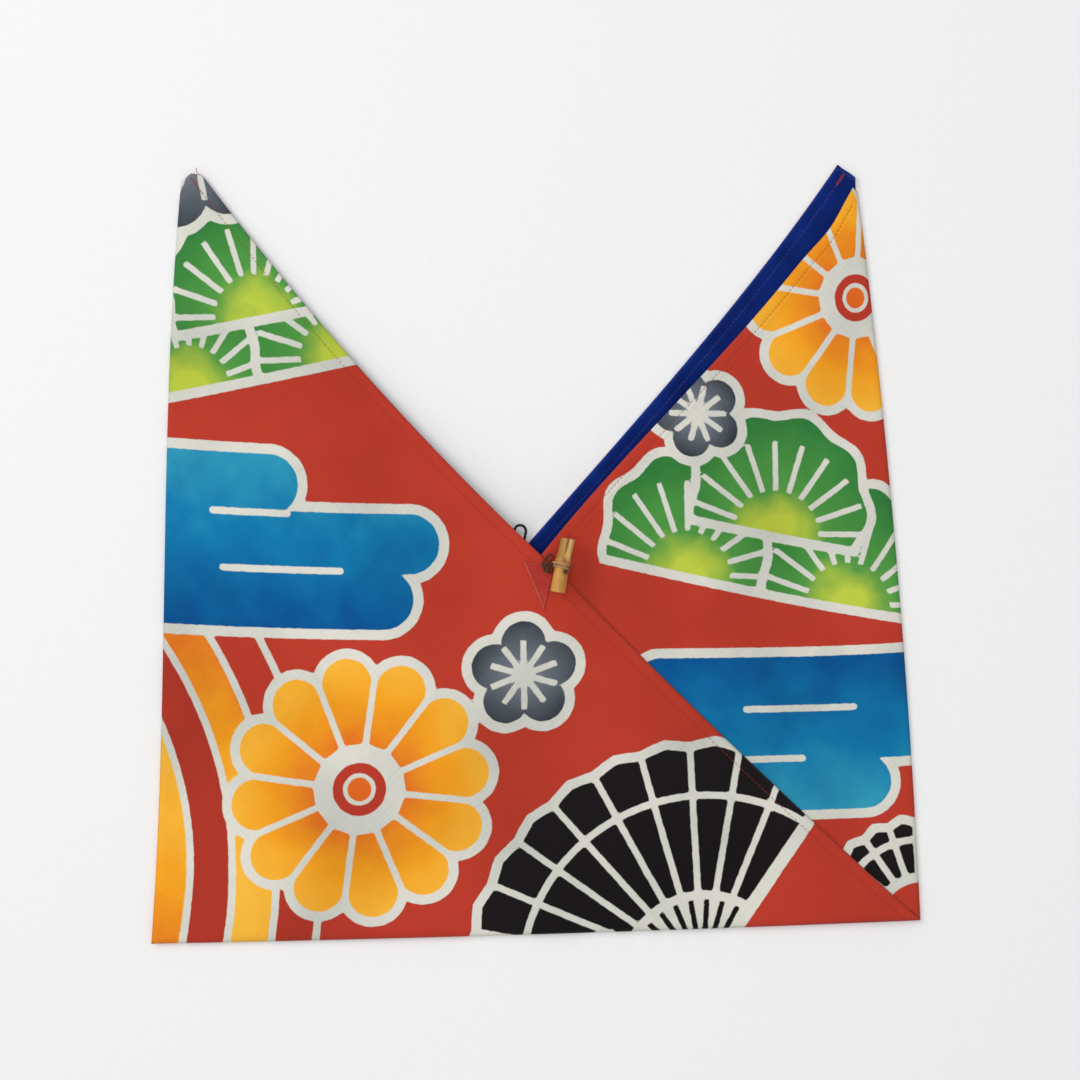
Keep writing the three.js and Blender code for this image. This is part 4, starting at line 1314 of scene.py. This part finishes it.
def cane():
    """A length of cane with a bud groove above its node and a pith hollow in each sawn end."""
    rings = cane_end(TOGGLE_FOOT, 1)
    for span in CANE_RINGS:
        rings += [(along, cane_radius(along), 0.0) for along in np.linspace(*span)]
    rings += cane_end(TOGGLE_TOP, -1)[::-1]
    points = []
    hollow = []
    for along, radius, shade in rings:
        bend = max(0.0, along - NODE_PLACE) * NODE_KINK
        open_groove = 1 / (1 + math.exp(-(along - NODE_PLACE - GROOVE_START) / GROOVE_FADE))
        for j in range(CANE_SIDES):
            angle = 2 * math.pi * j / CANE_SIDES
            lump = noise.noise(Vector((1.3 * math.cos(angle), along / 7, 1.3 * math.sin(angle))))
            lump = 0.0 if shade else CANE_LUMP * lump / 4
            sideways = math.remainder(angle - GROOVE_ANGLE, 2 * math.pi) * radius
            dent = math.exp(-((sideways / GROOVE_WIDTH) ** 2)) * open_groove
            dent = dent * min(1.0, max(0.0, radius - GROOVE_FLOOR))
            reach = radius * (1 + lump) - GROOVE_DEPTH * dent
            points.append((math.cos(angle) * reach + bend, along, math.sin(angle) * reach))
            # Painted shade: dark in the pith hollows and along the bud groove
            hollow.append(max(shade, GROOVE_SHADE * dent))
    faces = tube_faces(len(rings), CANE_SIDES, False)
    piece = tube("bamboo_cane", points, faces, TOGGLE_PLACE, BAMBOO_SKIN)
    point_values(piece.data, "hollow", hollow)
    return piece


def lashing_route():
    """Turns that hug the cane below its node, with both ends on the knot's side."""
    route = []
    for share in np.linspace(0, 1, 150):
        angle = math.pi + 2 * math.pi * LASHING_TURNS * share
        along = LASHING_PLACE + (share - 0.5) * LASHING_TURNS * LASHING_PITCH
        reach = cane_radius(along) + LASHING_CORD / 2 + LASHING_CLEARANCE
        route.append((math.cos(angle) * reach, along, math.sin(angle) * reach))
    return np.array(route)


def knot_route():
    """A loose overhand knot, longer up and down the bag than across it."""
    turns = np.linspace(0, 2 * math.pi, 160)
    x = np.sin(turns) + 2 * np.sin(2 * turns)
    y = np.cos(turns) - 2 * np.cos(2 * turns)
    z = -np.sin(3 * turns) * KNOT_THICKNESS
    knot = np.column_stack((x * KNOT_ACROSS, y * KNOT_UP, z * KNOT_ACROSS))
    return knot + np.array(KNOT_CENTRE) + KNOT_SHIFT


def anchor_routes():
    """The cord's legs, twisted together where they come up through the patch, and its slack."""
    routes = []
    climb = np.linspace(0, 1, 40)
    for start in (0, math.pi):
        angle = start + ANCHOR_TWIST * climb
        x = KNOT_CENTRE.x + ANCHOR_RADIUS * np.cos(angle)
        y = KNOT_CENTRE.y + ANCHOR_RADIUS * np.sin(angle)
        routes.append(np.column_stack((x, y, ANCHOR_FOOT + (ANCHOR_TOP - ANCHOR_FOOT) * climb)))
    return routes + [smooth_route(slack, 70) for slack in SLACK]


def lead_routes():
    """The cord's two runs from the knot to the lashing."""
    routes = []
    for lashing_end, lift in zip(lashing_route()[[0, -1]], LEAD_LIFTS):
        onto = np.array(TOGGLE_PLACE @ Vector(lashing_end))
        origin = np.array(KNOT_CENTRE) + (LEAD_SETOFF, 0.0, lift)
        routes.append(smooth_route([origin, (origin + onto) / 2 + (0.0, 0.0, LEAD_ARCH), onto], 26))
    return routes


def fade(piece, centre):
    """Paint light on the side of a wound cord that faces the light, up and to the left of its centre."""
    places = np.array([point.co for point in piece.data.vertices]) / MM - np.array(centre)
    point_values(piece.data, "painted_light", np.clip(places @ LIT_SIDE / LIT_REACH, 0, 1))


bamboo_cane = cane()
toggle_lashing = cords("cord_toggle_lashing", [lashing_route()], LASHING_CORD, BROWN_CORD, TOGGLE_PLACE)
# Painted highlight on the lashing's lit side
fade(toggle_lashing, TOGGLE_PIVOT)
toggle_knot = cords("cord_toggle_knot", [knot_route()], KNOT_CORD, BROWN_CORD)
toggle_anchor = cords("cord_toggle_anchor", anchor_routes(), ANCHOR_CORD, BROWN_CORD)
toggle_leads = cords("cord_toggle_leads", lead_routes(), ANCHOR_CORD, BROWN_CORD)


# The patch

def patch():
    """A triangle of cloth with its edges folded under, drooping over the step of the lap."""
    steps = PATCH_STEPS
    index = {}
    for i in range(steps + 1):
        for j in range(steps + 1 - i):
            index[i, j] = len(index)
    shares = np.array([(i, j, steps - i - j) for i, j in index]) / steps
    points = np.array([share @ PATCH_CORNERS for share in shares])
    rims = (shares * PATCH_REACH).min(axis=1)
    x, y = points.T
    sunk = np.clip(1 + y / HALF_FLAT - PATCH_SINK, 0, 1) ** SAG_POWER
    surface = LOWER_RIGHT_HEIGHT + (MOUTH_HEIGHT - LOWER_RIGHT_HEIGHT) * sunk
    long, wide = PATCH_PUCKER_SIZE
    pucker = np.array([PATCH_PUCKER * noise.noise(Vector((a / long, b / wide, 1.7))) for a, b in points])
    turning = PATCH_TURNING * smoothstep(1 - rims / PATCH_TURNING_WIDTH)
    height = surface + ripple(x, y) + PATCH_LIFT + pucker + turning
    height = height - PATCH_RIM_DROP * smoothstep(1 - rims / PATCH_RIM)
    past_lap = x * PATCH_DROOP_WAY[0] + y * PATCH_DROOP_WAY[1]
    height = height - PATCH_DROOP * smoothstep(past_lap / PATCH_DROOP_WIDTH)
    faces = []
    for i in range(steps):
        for j in range(steps - i):
            faces.append((index[i, j], index[i + 1, j], index[i, j + 1]))
            if i + j < steps - 1:
                faces.append((index[i + 1, j], index[i + 1, j + 1], index[i, j + 1]))
    return ply("mouth_patch", np.column_stack((points, height)), faces, UP, points, PATCH_PLY, PATCH_COTTON,
               hem=rims, worn=shares[:, 2] * PATCH_REACH[2])


mouth_patch = patch()


# What each piece stands for and what it moves with

for kind, finish_slot, pieces in (("outer", "dyed_cotton", outers), ("lining", "lining_cotton", linings)):
    for piece, (*_, ear, panels, folds) in zip(pieces, PANELS):
        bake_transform(piece)
        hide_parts(*[f"{kind}_{panel}" for panel in panels], *(folds if kind == "outer" else ()))
for piece, ear in (*stitches, (thread_end, "left_ear")):
    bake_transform(piece)

HARDWARE = (
    (mouth_patch, "bag", "patch_cotton", "mouth_corner_patch"),
    (loop_tail, "bag", "dark_cord", "loop_tail"),
    (toggle_knot, "shank", "brown_cord", "toggle_knot"),
    (bamboo_cane, "toggle", "bamboo", "bamboo_toggle"),
    (toggle_lashing, "toggle", "brown_cord", "toggle_lashing"),
    (loop_bight, "loop", "dark_cord", "loop_bight"))
for piece, body, finish_slot, node in HARDWARE:
    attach(piece, body)
    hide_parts(node)
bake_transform(toggle_anchor)
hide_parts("toggle_anchor")
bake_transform(toggle_leads)

front_left, front_right, back_right, back_left = zip(outers, linings)
for piece in front_left + back_right:
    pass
for piece in front_right + back_left:
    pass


# Table, light and camera

def table_and_light():
    mesh = bpy.data.meshes.new("table")
    square = ((-1, -1), (1, -1), (1, 1), (-1, 1))
    corners = [(x * TABLE_HALF, y * TABLE_HALF, TABLE_LEVEL) for x, y in square]
    mesh.from_pydata(corners, [], [(0, 1, 2, 3)])
    new_object("table", mesh, table_paper())
    sky = bpy.data.worlds.new("studio")
    sky.use_nodes = True
    background = sky.node_tree.nodes["Background"]
    background.inputs["Color"].default_value = (1.0, 1.0, 1.0, 1.0)
    background.inputs["Strength"].default_value = SKY_STRENGTH
    bpy.context.scene.world = sky
    for name, place, size, power in LIGHTS:
        light = bpy.data.lights.new(name, "AREA")
        light.size = size
        light.energy = power
        lamp = bpy.data.objects.new(name, light)
        bpy.context.scene.collection.objects.link(lamp)
        lamp.location = place
        lamp.rotation_euler = (-Vector(place)).to_track_quat("-Z", "Y").to_euler()


def camera():
    lens = bpy.data.cameras.new("camera")
    lens.sensor_width = CAMERA_SENSOR
    lens.lens = CAMERA_SENSOR * CAMERA_PLACE[2] / PHOTO_WIDTH
    eye = bpy.data.objects.new("camera", lens)
    bpy.context.scene.collection.objects.link(eye)
    eye.location = CAMERA_PLACE
    bpy.context.scene.camera = eye


table_and_light()
camera()
bpy.context.scene.view_settings.view_transform = "Standard"
